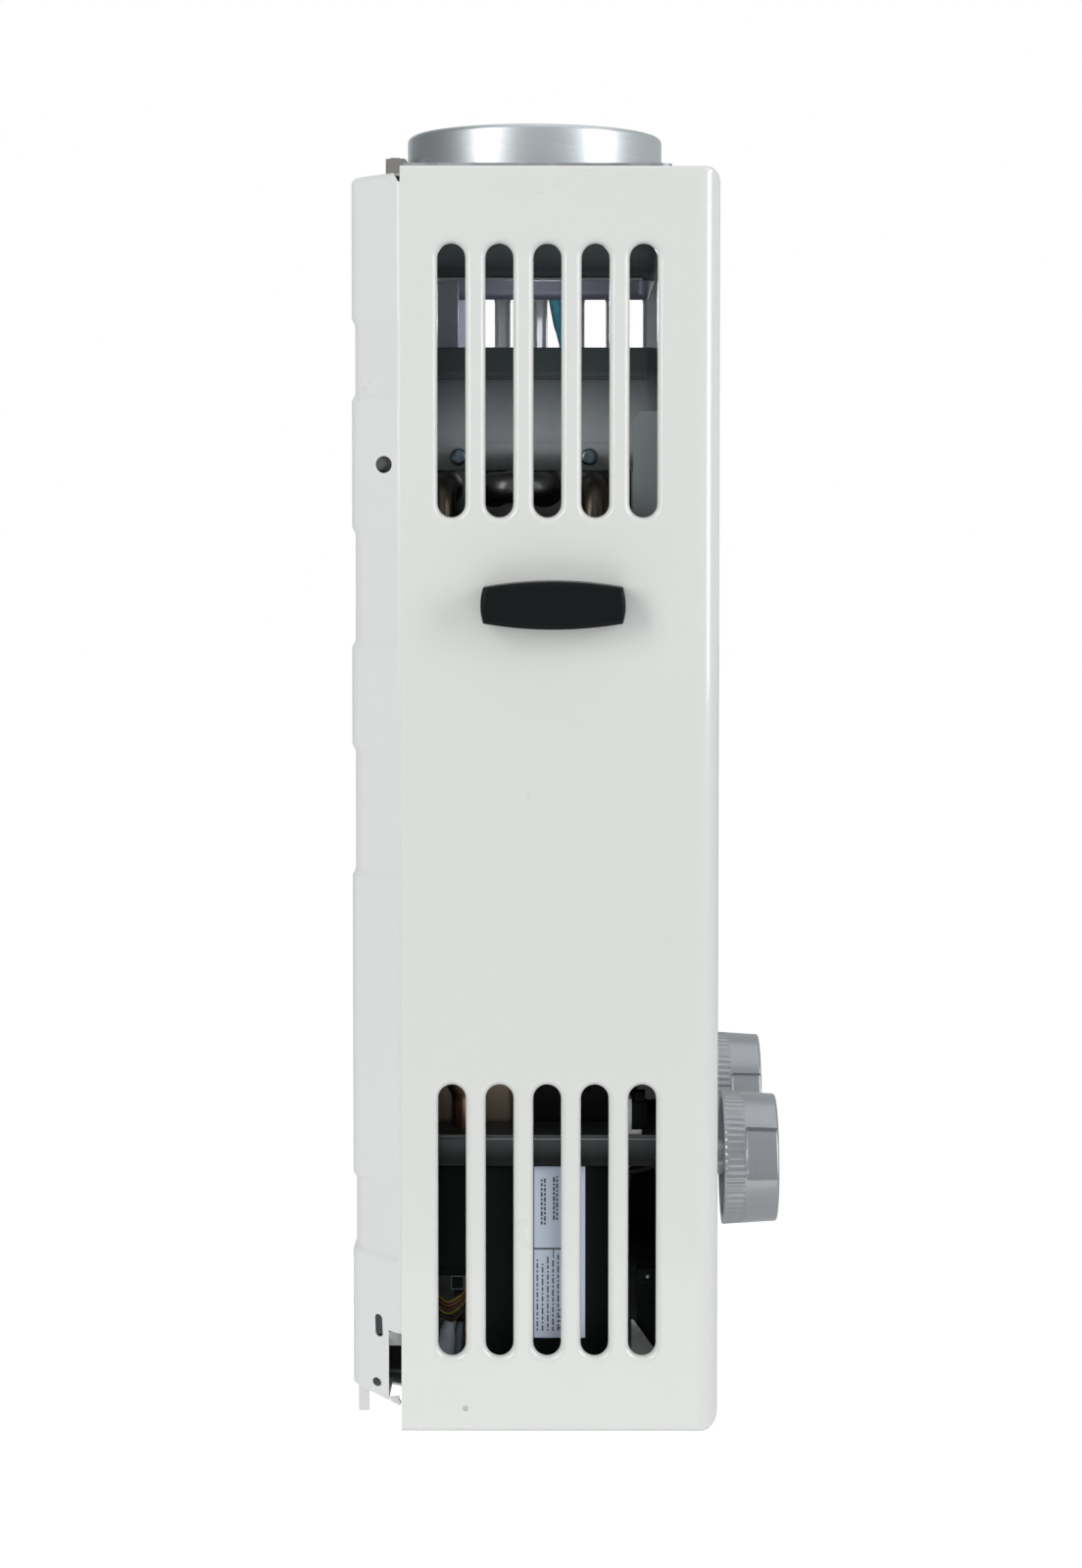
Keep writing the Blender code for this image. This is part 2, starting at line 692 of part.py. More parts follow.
def round_outline(radius, forward, up):
    """A level circle with as many points as rounded_rectangle gives."""
    count = 4 * (CORNER_STEPS + 1)
    angles = [(i + 1 / 2) * math.tau / count for i in range(count)]
    return [at(radius * math.cos(a), forward - radius * math.sin(a), up) for a in angles]


def stadium(half_width, low, high):
    """A slot's outline as (forward, up) offsets, with half-round ends at low and high."""
    points = []
    for centre, start in ((high - half_width, 0), (low + half_width, math.pi)):
        for step in range(SLOT_STEPS + 1):
            angle = start + math.pi * step / SLOT_STEPS
            points.append((half_width * math.cos(angle), centre + half_width * math.sin(angle)))
    return points


def solid_rings(bm, rings):
    """Adds a closed solid through rings of points to a bmesh."""
    grid = [[bm.verts.new(point) for point in ring] for ring in rings]
    count = len(rings[0])
    faces = [bm.faces.new(grid[0][::-1]), bm.faces.new(grid[-1])]
    for lower, upper in zip(grid, grid[1:]):
        for i in range(count):
            j = (i + 1) % count
            faces.append(bm.faces.new((lower[i], lower[j], upper[j], upper[i])))
    bmesh.ops.recalc_face_normals(bm, faces=faces)


def thicken(obj, thickness, offset=-1):
    """Gives an open sheet its thickness, inward from its outer face unless offset says."""
    solid = obj.modifiers.new("thickness", "SOLIDIFY")
    solid.thickness = thickness
    solid.offset = offset
    solid.use_even_offset = True


def bevel(obj, width, segments=1):
    """Rounds an object's edges."""
    round_over = obj.modifiers.new("round_edges", "BEVEL")
    round_over.width = width
    round_over.segments = segments
    round_over.limit_method = "ANGLE"
    round_over.angle_limit = math.radians(40)


def boolean(obj, other, operation):
    """Adds one exact Boolean."""
    step = obj.modifiers.new(other.name, "BOOLEAN")
    step.operation = operation
    step.object = other
    step.solver = "EXACT"


def cut(obj, *cutters):
    """Takes cutters away from an object."""
    for cutter in cutters:
        boolean(obj, cutter, "DIFFERENCE")


def fuse(obj, *additions):
    """Joins pieces of the same casting or pressing to an object."""
    for addition in additions:
        boolean(obj, addition, "UNION")


def slot_places():
    """Each side slot as (forward, low, high)."""
    forwards = [FIRST_SLOT + SLOT_PITCH * i for i in range(SLOT_COUNT)]
    spans = ((UPPER_SLOT_LOW, UPPER_SLOT_HIGH), (LOWER_SLOT_LOW, LOWER_SLOT_HIGH))
    return [(forward, low, high) for forward in forwards for low, high in spans]


def slot_ring(x, forward, low, high, grow):
    """One slot outline at a distance across, grown all round."""
    outline = stadium(SLOT_WIDTH / 2 + grow, low - grow, high + grow)
    return [at(x, forward + offset, up) for offset, up in outline]


def slot_rims():
    """The pressed-in rims round the slots, before their middles are cut out."""
    bm = bmesh.new()
    for forward, low, high in slot_places():
        for side in (-1, 1):
            outer = side * (COVER_INNER_X + SHEET / 2)
            inner = side * (COVER_INNER_X - SLOT_RIM_DEPTH)
            solid_rings(bm, [slot_ring(x, forward, low, high, SLOT_RIM) for x in (outer, inner)])
    return add("slot_rims", mesh_from(bm, "slot_rims"), None)


def slot_cutters():
    """Cutters that run across the cover and flare at its outer faces."""
    bm = bmesh.new()
    stations = (
        (-(COVER_HALF + OVERRUN), SLOT_FLARE * (SHEET + OVERRUN) / SHEET),
        (-COVER_INNER_X, 0),
        (COVER_INNER_X, 0),
        (COVER_HALF + OVERRUN, SLOT_FLARE * (SHEET + OVERRUN) / SHEET),
    )
    for forward, low, high in slot_places():
        solid_rings(bm, [slot_ring(x, forward, low, high, grow) for x, grow in stations])
    return add("slot_cutters", mesh_from(bm, "slot_cutters"), None)


def cover_shell():
    """The cover's five walls as one bent sheet, open at the back."""
    bm = bmesh.new()
    size = (CASE_WIDTH, COVER_DEPTH, CASE_HEIGHT, 1)
    bmesh.ops.create_cube(bm, size=1, matrix=Matrix.Diagonal(size))
    weights = bm.edges.layers.float.new("bevel_weight_edge")
    back = max(bm.faces, key=lambda face: face.calc_center_median().y)
    for edge in bm.edges:
        middle = (edge.verts[0].co + edge.verts[1].co) / 2
        if middle.y < 0 and abs(edge.verts[0].co.y - edge.verts[1].co.y) < GAP:
            edge[weights] = 1
        elif abs(middle.y) < GAP:
            edge[weights] = SIDE_EDGE_RADIUS / FRONT_EDGE_RADIUS
    bmesh.ops.delete(bm, geom=[back], context="FACES_ONLY")
    place = at(0, COVER_DEPTH / 2, CASE_HEIGHT / 2)
    cover = add("front_cover", mesh_from(bm, "front_cover"), ENAMEL, place)
    round_over = cover.modifiers.new("round_edges", "BEVEL")
    round_over.width = FRONT_EDGE_RADIUS
    round_over.segments = COVER_EDGE_SEGMENTS
    round_over.limit_method = "WEIGHT"
    thicken(cover, SHEET)
    return cover


def cover_openings():
    """The cover's openings for the flue, the base, the spindles, the display and the clips."""
    neck = NECK_RADIUS + FLUE_CLEARANCE
    above = CASE_HEIGHT + OVERRUN
    below = CASE_HEIGHT - SHEET - OVERRUN
    inside = COVER_HALF - BOTTOM_FLANGE
    openings = [
        rod("flue_opening", (0, FLUE_FORWARD, below), (0, FLUE_FORWARD, above), neck,
            sides=LARGE_ROUND_SIDES),
        block("flue_slot", (-neck, -OVERRUN, below), (neck, FLUE_FORWARD, above)),
        block("base_opening", (-inside, -OVERRUN, -OVERRUN),
              (inside, COVER_DEPTH - BOTTOM_FLANGE, SHEET + OVERRUN)),
        block("display_opening",
              (-DISPLAY_HALF_WIDTH - GAP, COVER_DEPTH - SHEET - OVERRUN,
               KNOB_UP - DISPLAY_HALF_HEIGHT - GAP),
              (DISPLAY_HALF_WIDTH + GAP, COVER_DEPTH + OVERRUN,
               KNOB_UP + DISPLAY_HALF_HEIGHT + GAP)),
    ]
    for side in (-1, 1):
        name = "left" if side < 0 else "right"
        radius = SPINDLE_RADIUS + SPINDLE_HOLE_CLEARANCE
        openings.append(
            rod("spindle_hole_" + name, (side * KNOB_X, COVER_DEPTH - SHEET - OVERRUN, KNOB_UP),
                (side * KNOB_X, COVER_DEPTH + OVERRUN, KNOB_UP), radius))
        openings.append(
            rod("cover_screw_hole_" + name, (side * COVER_SCREW_X, foot_middle(), -OVERRUN),
                (side * COVER_SCREW_X, foot_middle(), SHEET + OVERRUN), SCREW_RADIUS + GAP,
                sides=SMALL_ROUND_SIDES))
    reach = COVER_HALF + OVERRUN
    for end in (-1, 1):
        middle = HANDLE_FORWARD + end * CLIP_SPACING / 2
        width = CLIP_WIDTH / 2 + GAP
        height = CLIP_THICKNESS / 2 + GAP
        openings.append(
            block("clip_holes_rear" if end < 0 else "clip_holes_front",
                  (-reach, middle - width, HANDLE_UP - height),
                  (reach, middle + width, HANDLE_UP + height)))
    return openings


def foot_middle():
    """How far forward the screws through the base plate's foot are."""
    return COVER_DEPTH - BOTTOM_FLANGE / 2 - SHEET


def make_front_cover():
    """The white cover: a slotted shell that slides on from the front."""
    cover = cover_shell()
    fuse(cover, slot_rims())
    cut(cover, slot_cutters(), *cover_openings())


def pan_profile(recess, inset):
    """Half of the pan's level section as (x, forward), from its lip to its rear face."""
    lip_x = COVER_INNER_X - GAP
    bend = Vector((lip_x, -PAN_SEAM))
    corner = Vector((COVER_HALF - PAN_TAPER - recess, recess - PAN_DEPTH))
    slant = (corner - bend).normalized()
    inward = Vector((slant.y, -slant.x))
    bend += mitre(Vector((-1, 0)), inward) * inset
    corner += mitre(inward, Vector((0, 1))) * inset
    lip_front = PAN_LIP + (OVERRUN if inset else 0)
    along = corner - slant * PAN_CORNER
    across = corner - Vector((PAN_CORNER, 0))
    return [(bend.x, lip_front), tuple(bend), tuple(along), tuple(across)]


def mitre(first, second):
    """The shift of a corner when both its sides move one unit along their normals."""
    return (first + second) / (1 + first.dot(second))


def pan_row(recess, up, slope=0, inset=0):
    """One level of the pan from its right lip round the back to its left lip."""
    half = pan_profile(recess, inset)
    whole = half + [(-x, forward) for x, forward in reversed(half)]
    return [at(x, forward, up - slope * (forward + PAN_DEPTH)) for x, forward in whole]


def recess_bands():
    """The recessed bands across the pan's rear face, each as (low, high)."""
    shelf_band = SHELF_UP - SHELF_BAND_DROP
    bands = [(shelf_band, shelf_band + SHELF_BAND_HEIGHT),
             tuple(share * CASE_HEIGHT for share in MIDDLE_BAND_SHARES)]
    for drop, height in ((SUPPORT_BAND_DROP, SUPPORT_BAND_HEIGHT), (TOP_BAND_DROP, TOP_BAND_HEIGHT)):
        bands.append((CASE_HEIGHT - drop, CASE_HEIGHT - drop + height))
    return bands


def pan_block(name, surface, inset):
    """The pan's outline as a solid block, with the recessed bands in its rear face."""
    rows = [pan_row(0, PAN_BOTTOM_BACK + inset, PAN_BOTTOM_SLOPE, inset)]
    for low, high in recess_bands():
        rows.append(pan_row(0, low - BAND_SLOPE, inset=inset))
        rows.append(pan_row(BAND_RECESS, low, inset=inset))
        rows.append(pan_row(BAND_RECESS, high, inset=inset))
        rows.append(pan_row(0, high + BAND_SLOPE, inset=inset))
    rows.append(pan_row(0, PAN_TOP - inset, inset=inset))
    return sheet_from_rows(name, rows, surface, closed=True, capped=True)


def make_back_pan():
    """The pressed back pan: tapering side walls and embossed bands across its rear."""
    pan = pan_block("back_pan", ENAMEL, 0)
    reach = COVER_HALF + OVERRUN
    neck = NECK_RADIUS + FLUE_CLEARANCE
    slot_back = BACK_FLANGE + HANGER_STAND_OFF - PLATE
    lug = HANGER_HALF_WIDTH + PLATE
    cut(
        pan,
        pan_block("pan_hollow", None, SHEET),
        rod("pan_flue_opening", (0, FLUE_FORWARD, PAN_TOP - SHEET - OVERRUN),
            (0, FLUE_FORWARD, PAN_TOP + OVERRUN), neck, sides=LARGE_ROUND_SIDES),
        block("hanger_slot", (-lug, slot_back, PAN_TOP - SHEET - OVERRUN),
              (lug, slot_back + HANGER_CHEEK + 2 * PLATE, PAN_TOP + OVERRUN)),
        rod("pan_holes", (-reach, PAN_HOLE_FORWARD, CASE_HEIGHT - PAN_HOLE_DROP),
            (reach, PAN_HOLE_FORWARD, CASE_HEIGHT - PAN_HOLE_DROP), PAN_HOLE_RADIUS),
        rod("lance_holes", (-reach, LANCE_FORWARD, LANCE_UP), (reach, LANCE_FORWARD, LANCE_UP),
            LANCE_RADIUS, sides=SMALL_ROUND_SIDES),
        pan_slot_cutter(reach),
        *pan_notches(reach),
    )
    fuse(pan, pan_tabs())


def pan_slot_cutter(reach):
    """The cutter for the upright slots low in the pan's side walls."""
    bm = bmesh.new()
    outline = stadium(PAN_SLOT_WIDTH / 2, PAN_SLOT_LOW, PAN_SLOT_HIGH)
    rings = [[at(x, PAN_SLOT_FORWARD + f, up) for f, up in outline] for x in (-reach, reach)]
    solid_rings(bm, rings)
    return add("pan_slots", mesh_from(bm, "pan_slots"), None)


def pan_notches(reach):
    """Cutters for the open notches at the foot of the pan's side walls."""
    notches = []
    for side in (-1, 1):
        inner = side * (COVER_HALF - NOTCH_REACH)
        notches.append(
            block("pan_notch_left" if side < 0 else "pan_notch_right",
                  (inner, -PAN_SEAM - NOTCH_DEPTH, -OVERRUN),
                  (side * reach, PAN_LIP + OVERRUN, NOTCH_HIGH)))
    return notches


def pan_tabs():
    """The two angled tabs below the pan that take the lower wall screws."""
    bm = bmesh.new()
    top = PAN_BOTTOM_BACK + SHEET / 4
    front = TAB_FORWARD + TAB_FLANGE
    for side in (-1, 1):
        outer = side * (COVER_HALF - PAN_TAPER - TAB_INSET)
        inner = outer - side * TAB_WIDTH
        within = outer - side * SHEET
        outline = [(inner, TAB_FORWARD), (outer, TAB_FORWARD), (outer, front), (within, front),
                   (within, TAB_FORWARD + SHEET), (inner, TAB_FORWARD + SHEET)]
        solid_rings(bm, [[at(x, forward, up) for x, forward in outline] for up in (0, top)])
    return add("pan_tabs", mesh_from(bm, "pan_tabs"), None)


def make_wall_hanger():
    """The galvanised hanger that rises behind the flue collar, with its keyhole and cheeks."""
    proud = BACK_FLANGE + HANGER_STAND_OFF
    path = [(BACK_FLANGE, HANGER_LOW), (BACK_FLANGE, HANGER_JOG),
            (proud, HANGER_JOG + HANGER_JOG_RISE), (proud, HANGER_TOP)]
    hanger = folded("wall_hanger", path, HANGER_HALF_WIDTH, GALVANISED)
    back, front = proud - OVERRUN, proud + OVERRUN
    for side in (-1, 1):
        name = "hanger_cheek_left" if side < 0 else "hanger_cheek_right"
        outer = side * HANGER_HALF_WIDTH
        fuse(hanger, block(name, (outer - side * PLATE, proud, HANGER_CHEEK_LOW),
                           (outer, proud + HANGER_CHEEK, HANGER_TOP - PLATE)))
    cut(
        hanger,
        rod("keyhole", (0, back, KEYHOLE_UP), (0, front, KEYHOLE_UP), KEYHOLE_RADIUS),
        block("keyhole_slot", (-KEYHOLE_SLOT_RADIUS, back, KEYHOLE_UP),
              (KEYHOLE_SLOT_RADIUS, front, KEYHOLE_UP + KEYHOLE_TRAVEL)),
    )


def make_top_plate():
    """The galvanised tray that closes the casing's top round the flue."""
    low = CASE_HEIGHT + GAP
    rows = [
        rounded_rectangle(TOP_PLATE_HALF_WIDTH, TOP_PLATE_BACK, TOP_PLATE_FRONT, up,
                          TOP_PLATE_CORNER)
        for up in (low, TOP_PLATE_TOP)
    ]
    plate = sheet_from_rows("top_plate", rows, GALVANISED, closed=True)
    top_only(plate, rows[1])
    thicken(plate, SHEET)
    cut(plate, rod("plate_hole", (0, FLUE_FORWARD, low - OVERRUN),
                   (0, FLUE_FORWARD, TOP_PLATE_TOP + OVERRUN), PLATE_HOLE_RADIUS,
                   sides=LARGE_ROUND_SIDES))


def top_only(obj, ring):
    """Closes the top of a sheet whose last row of points is the ring given."""
    bm = bmesh.new()
    bm.from_mesh(obj.data)
    bm.verts.ensure_lookup_table()
    bm.faces.new(bm.verts[-len(ring):])
    bm.to_mesh(obj.data)
    bm.free()


def make_flue_collar():
    """The flue spigot: a spun ring with a rolled rim and a turned-in foot."""
    low = TOP_PLATE_TOP + GAP
    height = FLUE_TOP - low
    inner = FLUE_RADIUS - FLUE_WALL
    rim_centre = height - FLUE_RIM_RADIUS
    land = FLUE_RADIUS - FLUE_RIM_RADIUS - FLUE_RIM_LAND
    profile = [(land, height)]
    for step in range(CORNER_STEPS + 1):
        angle = math.pi / 2 * (1 - step / CORNER_STEPS)
        profile.append((FLUE_RADIUS - FLUE_RIM_RADIUS * (1 - math.cos(angle)),
                        rim_centre + FLUE_RIM_RADIUS * math.sin(angle)))
    foot = FLUE_RADIUS - FLUE_FOOT
    profile += [(FLUE_RADIUS, 0), (foot, 0), (foot, FLUE_WALL), (inner, FLUE_WALL)]
    under_rim = FLUE_RIM_RADIUS - FLUE_WALL
    for step in range(CORNER_STEPS + 1):
        angle = math.pi / 2 * step / CORNER_STEPS
        profile.append((inner - under_rim * (1 - math.cos(angle)),
                        rim_centre + under_rim * math.sin(angle)))
    profile.append((land, height - FLUE_WALL))
    turned("flue_collar", profile, (0, FLUE_FORWARD, low), (0, 0, 1), ALUMINISED,
           LARGE_ROUND_SIDES, ring=True)


def make_hood():
    """The draught hood: a lower cone on the exchanger, a back plate, and an upper bell."""
    skirt_back = EXCHANGER_BACK - GAP - SHEET
    lower_rows = [
        rounded_rectangle(SKIRT_HALF_WIDTH, skirt_back, RIM_FRONT, up, SKIRT_CORNER)
        for up in (SKIRT_LOW, LEDGE_UP)
    ]
    lower_rows += [
        rounded_rectangle(RIM_HALF_WIDTH, HOOD_BACK, RIM_FRONT, up, HOOD_CORNER)
        for up in (RIM_LOW, RIM_TOP)
    ]
    lower = sheet_from_rows("hood_lower", lower_rows, HOOD_STEEL, closed=True)
    thicken(lower, SHEET)
    for forward, label in zip(HOOD_SCREW_FORWARDS, ("rear", "front")):
        reach = SKIRT_HALF_WIDTH + OVERRUN
        cut(lower, rod("skirt_holes_" + label, (-reach, forward, HOOD_SCREW_UP),
                       (reach, forward, HOOD_SCREW_UP), SCREW_RADIUS + GAP,
                       sides=SMALL_ROUND_SIDES))
    upper_rows = [
        rounded_rectangle(HOOD_HALF_WIDTH, HOOD_BACK, HOOD_FRONT, up, HOOD_CORNER)
        for up in (HOOD_LOW, HOOD_LOW + HOOD_SKIRT)
    ]
    neck_top = TOP_PLATE_TOP - SHEET - GAP
    upper_rows += [round_outline(NECK_RADIUS, FLUE_FORWARD, up)
                   for up in (HOOD_NECK_LOW, neck_top)]
    upper = sheet_from_rows("hood_upper", upper_rows, HOOD_STEEL, closed=True)
    thicken(upper, SHEET)
    make_hood_back_plate()
    make_front_baffle()


def make_front_baffle():
    """The bent sheet inside the cone's skirt, in front of the exchanger."""
    low, high = BAFFLE_LOW, EXCHANGER_HIGH
    back = EXCHANGER_FRONT + GAP
    front = RIM_FRONT - SHEET - 2 * GAP
    half = SKIRT_HALF_WIDTH - SHEET - 2 * GAP
    inner = half - BAFFLE_TURN_IN
    baffle = block("front_baffle", (-half, back, low), (half, front, high), HOOD_STEEL)
    cut(
        baffle,
        block("baffle_hollow", (-half + SHEET, back + SHEET, low - OVERRUN),
              (half - SHEET, front - SHEET, high + OVERRUN)),
        block("baffle_back", (-inner, back - OVERRUN, low - OVERRUN),
              (inner, back + SHEET + OVERRUN, high + OVERRUN)),
    )


def make_hood_back_plate():
    """The channel that carries the upper bell on the lower cone's rear rim."""
    low, high = RIM_TOP + GAP, HOOD_LOW - GAP
    back = HOOD_BACK
    half = HOOD_HALF_WIDTH
    plate = block("hood_back_plate", (-half, back, low), (half, back + SHEET, high), HOOD_STEEL)
    for side in (-1, 1):
        name = "hood_post_left" if side < 0 else "hood_post_right"
        fuse(plate, block(name, (side * half, back, low),
                          (side * (half - SHEET), back + HOOD_POST, high)))


def make_hood_screws():
    """Pan-head screws through the lower hood's skirt."""
    outer = SKIRT_HALF_WIDTH + GAP
    profile = [(0, SCREW_HEAD_HEIGHT)]
    profile.append((SCREW_HEAD_RADIUS * 3 / 4, SCREW_HEAD_HEIGHT * 4 / 5))
    profile += [(SCREW_HEAD_RADIUS, SCREW_HEAD_HEIGHT / 3), (SCREW_HEAD_RADIUS, 0)]
    profile += [(SCREW_RADIUS, 0), (SCREW_RADIUS, -(SHEET + GAP)), (0, -(SHEET + GAP))]
    for side, side_name in ((-1, "left"), (1, "right")):
        for forward, label in zip(HOOD_SCREW_FORWARDS, ("rear", "front")):
            turned("hood_screw_%s_%s" % (side_name, label), profile,
                   (side * outer, forward, HOOD_SCREW_UP), (side, 0, 0), STEEL,
                   SMALL_ROUND_SIDES)


def tube_forward(index):
    """How far forward a tube of the exchanger is."""
    return FIRST_TUBE + TUBE_PITCH * index


def make_heat_exchanger():
    """The finned block with its cross tubes brazed in."""
    low, high = EXCHANGER_LOW, EXCHANGER_HIGH
    half = EXCHANGER_HALF_WIDTH
    exchanger = block("heat_exchanger", (-half, EXCHANGER_BACK, low),
                      (half, EXCHANGER_FRONT, high), TINNED, EXCHANGER_EDGE)
    reach = half + TUBE_STUB
    for index in range(TUBE_COUNT):
        fuse(exchanger, rod("exchanger_tube_%d" % index, (-reach, tube_forward(index), TUBE_UP),
                            (reach, tube_forward(index), TUBE_UP), TUBE_RADIUS,
                            sides=SMALL_ROUND_SIDES))
    web = TUBE_RADIUS + TUBE_COVER
    cut(exchanger,
        fin_gap_cutter("lower_fin_gaps", low - OVERRUN, TUBE_UP - web),
        fin_gap_cutter("upper_fin_gaps", TUBE_UP + web, high + OVERRUN))


def fin_gap_cutter(name, low, high):
    """One cutter with all the gaps between the fins above or below the tubes."""
    bm = bmesh.new()
    inner = EXCHANGER_HALF_WIDTH - EXCHANGER_WALL
    pitch = 2 * inner / FIN_GAPS
    depth = EXCHANGER_FRONT - EXCHANGER_BACK - 2 * EXCHANGER_WALL
    for index in range(FIN_GAPS):
        middle = -inner + pitch * (index + 1 / 2)
        place = at(middle, EXCHANGER_BACK + EXCHANGER_WALL + depth / 2, (low + high) / 2)
        size = Matrix.Diagonal((pitch * FIN_GAP_SHARE, depth, high - low, 1))
        bmesh.ops.create_cube(bm, size=1, matrix=Matrix.Translation(place) @ size)
    return add(name, mesh_from(bm, name), None)


def make_return_bends():
    """The U bends brazed between neighbouring tubes outside the end plates."""
    start = EXCHANGER_HALF_WIDTH + TUBE_STUB + GAP
    for name, side, index in (("return_bend_left", -1, 1), ("return_bend_right_rear", 1, 0),
                              ("return_bend_right_front", 1, 2)):
        middle = tube_forward(index) + TUBE_PITCH / 2
        points = [at(side * start, middle - TUBE_PITCH / 2, TUBE_UP)]
        for step in range(BEND_ARC_STEPS + 1):
            angle = math.pi * step / BEND_ARC_STEPS
            points.append(at(side * (start + BEND_LEG + TUBE_PITCH / 2 * math.sin(angle)),
                             middle - TUBE_PITCH / 2 * math.cos(angle), TUBE_UP))
        points.append(at(side * start, middle + TUBE_PITCH / 2, TUBE_UP))
        tube(name, points, BEND_TUBE_RADIUS, TINNED)


def make_combustion_chamber():
    """The copper chamber round the flames, with a mouth for the burner and electrode holes."""
    rows = [
        rounded_rectangle(CHAMBER_HALF_WIDTH, CHAMBER_BACK, CHAMBER_FRONT, up, CHAMBER_CORNER)
        for up in (CHAMBER_LOW, EXCHANGER_LOW - GAP)
    ]
    chamber = sheet_from_rows("combustion_chamber", rows, COPPER, closed=True)
    thicken(chamber, SHEET)
    half = CHAMBER_HALF_WIDTH - MOUTH_SIDE
    cut(chamber, block("burner_mouth", (-half, CHAMBER_FRONT - SHEET - OVERRUN,
                                        CHAMBER_LOW - OVERRUN),
                       (half, CHAMBER_FRONT + OVERRUN, CHAMBER_LOW + MOUTH_HEIGHT)))
    for side, name in ((-1, "spark_hole"), (1, "sensor_hole")):
        cut(chamber, rod(name, (side * ELECTRODE_X, CHAMBER_FRONT - SHEET - OVERRUN,
                                electrode_up()),
                         (side * ELECTRODE_X, CHAMBER_FRONT + OVERRUN, electrode_up()),
                         ELECTRODE_RADIUS + GAP))


def electrode_up():
    """The height of the electrodes above the burner."""
    return CHAMBER_LOW + ELECTRODE_RISE


def coil_corners():
    """Corners of the water coil from the water valve's outlet to the front exchanger tube."""
    steps = [(COIL_X, COLD_RISER_FORWARD), (COIL_X, COIL_BACK), (-COIL_X, COIL_BACK),
             (-COIL_X, COIL_FRONT), (COIL_X, COIL_FRONT), (COIL_X, COIL_BACK),
             (-COIL_X, COIL_BACK)]
    corners = [(OUTLET_BOSS_X + GAP, COLD_RISER_FORWARD, COLD_OUTLET_UP),
               (COIL_X, COLD_RISER_FORWARD, COLD_OUTLET_UP)]
    for index, (x, forward) in enumerate(steps):
        corners.append((x, forward, COIL_FIRST_UP + COIL_CLIMB * index * index / (index + 1)))
    up = corners[-1][2]
    front_tube = tube_forward(TUBE_COUNT - 1)
    corners.append((-COIL_X, front_tube - 2 * PIPE_BEND, up))
    corners.append((-RISER_X, front_tube, up + PIPE_BEND))
    corners.append((-RISER_X, front_tube, TUBE_UP))
    corners.append((-(EXCHANGER_HALF_WIDTH + TUBE_STUB + GAP), front_tube, TUBE_UP))
    return corners


def make_water_pipes():
    """The coil round the chamber and the hot pipe down to its union."""
    tube("water_coil", rounded_route(coil_corners(), PIPE_BEND), PIPE_RADIUS, COPPER)
    rear_tube = tube_forward(0)
    hot = [
        (-(EXCHANGER_HALF_WIDTH + TUBE_STUB + GAP), rear_tube, TUBE_UP),
        (-RISER_X, rear_tube, TUBE_UP),
        (-RISER_X, rear_tube, SHELF_UP + HOT_JOG_HIGH),
        (-HOT_LOWER_X, HOT_LOWER_FORWARD, SHELF_UP + HOT_JOG_LOW),
        (-HOT_LOWER_X, HOT_LOWER_FORWARD, SHELF_UP - HOT_TURN_DROP),
        (-HOT_UNION_X, HOT_LOWER_FORWARD, SHELF_UP - HOT_TURN_DROP - HOT_TURN_LENGTH),
        (-HOT_UNION_X, HOT_LOWER_FORWARD, UNION_TOP + GAP),
    ]
    tube("hot_outlet_pipe", rounded_route(hot, PIPE_BEND), PIPE_RADIUS, COPPER)


def pan_corner_cutters(name, low, high):
    """Cutters that narrow a plate where it runs back between the pan's tapering walls."""
    cutters = []
    reach = COVER_HALF + OVERRUN
    for side in (-1, 1):
        label = name + ("_left" if side < 0 else "_right")
        cutters.append(block(label, (side * PAN_REGION_HALF_WIDTH, -PAN_DEPTH, low),
                             (side * reach, 0, high)))
    return cutters


def make_burner_shelf():
    """The shelf that carries the chamber and burner, with its upturned edges and openings."""
    path = [(BACK_FLANGE, SHELF_UP + SHELF_BACK_FLANGE), (BACK_FLANGE, SHELF_UP),
            (SHELF_FRONT, SHELF_UP), (SHELF_FRONT, SHELF_UP + SHELF_LIP)]
    shelf = folded("burner_shelf", path, SHELF_HALF_WIDTH, GALVANISED)
    low = SHELF_UP - PLATE / 2
    for side in (-1, 1):
        outer = side * SHELF_HALF_WIDTH
        fuse(shelf, block("shelf_lip_left" if side < 0 else "shelf_lip_right",
                          (outer - side * PLATE, OVERRUN, low),
                          (outer, SHELF_FRONT, SHELF_UP + SHELF_LIP)))
    below, above = low - OVERRUN, SHELF_TOP + OVERRUN
    hole = PIPE_RADIUS + OVERRUN
    cut(
        shelf,
        block("air_opening", (-AIR_HALF_WIDTH, CHAMBER_BACK + AIR_MARGIN, below),
              (AIR_HALF_WIDTH, CHAMBER_FRONT - AIR_MARGIN, above)),
        rod("hot_pipe_hole", (-HOT_LOWER_X, HOT_LOWER_FORWARD, below),
            (-HOT_LOWER_X, HOT_LOWER_FORWARD, above), hole),
        rod("coil_pipe_hole", (COIL_X, COLD_RISER_FORWARD, below),
            (COIL_X, COLD_RISER_FORWARD, above), hole),
        rod("gas_pipe_hole", (-KNOB_X, MANIFOLD_FORWARD, below),
            (-KNOB_X, MANIFOLD_FORWARD, above), hole),
        *pan_corner_cutters("shelf_corner", below, above + SHELF_BACK_FLANGE),
    )


def make_exchanger_support():
    """The folded bracket between the pan's rear wall and the exchanger's back."""
    front = EXCHANGER_BACK - GAP - PLATE / 2
    path = [(BACK_FLANGE, SUPPORT_UP + SUPPORT_FLANGE), (BACK_FLANGE, SUPPORT_UP),
            (front, SUPPORT_UP), (front, SUPPORT_UP - SUPPORT_FLANGE)]
    folded("exchanger_support", path, SUPPORT_HALF_WIDTH, GALVANISED)


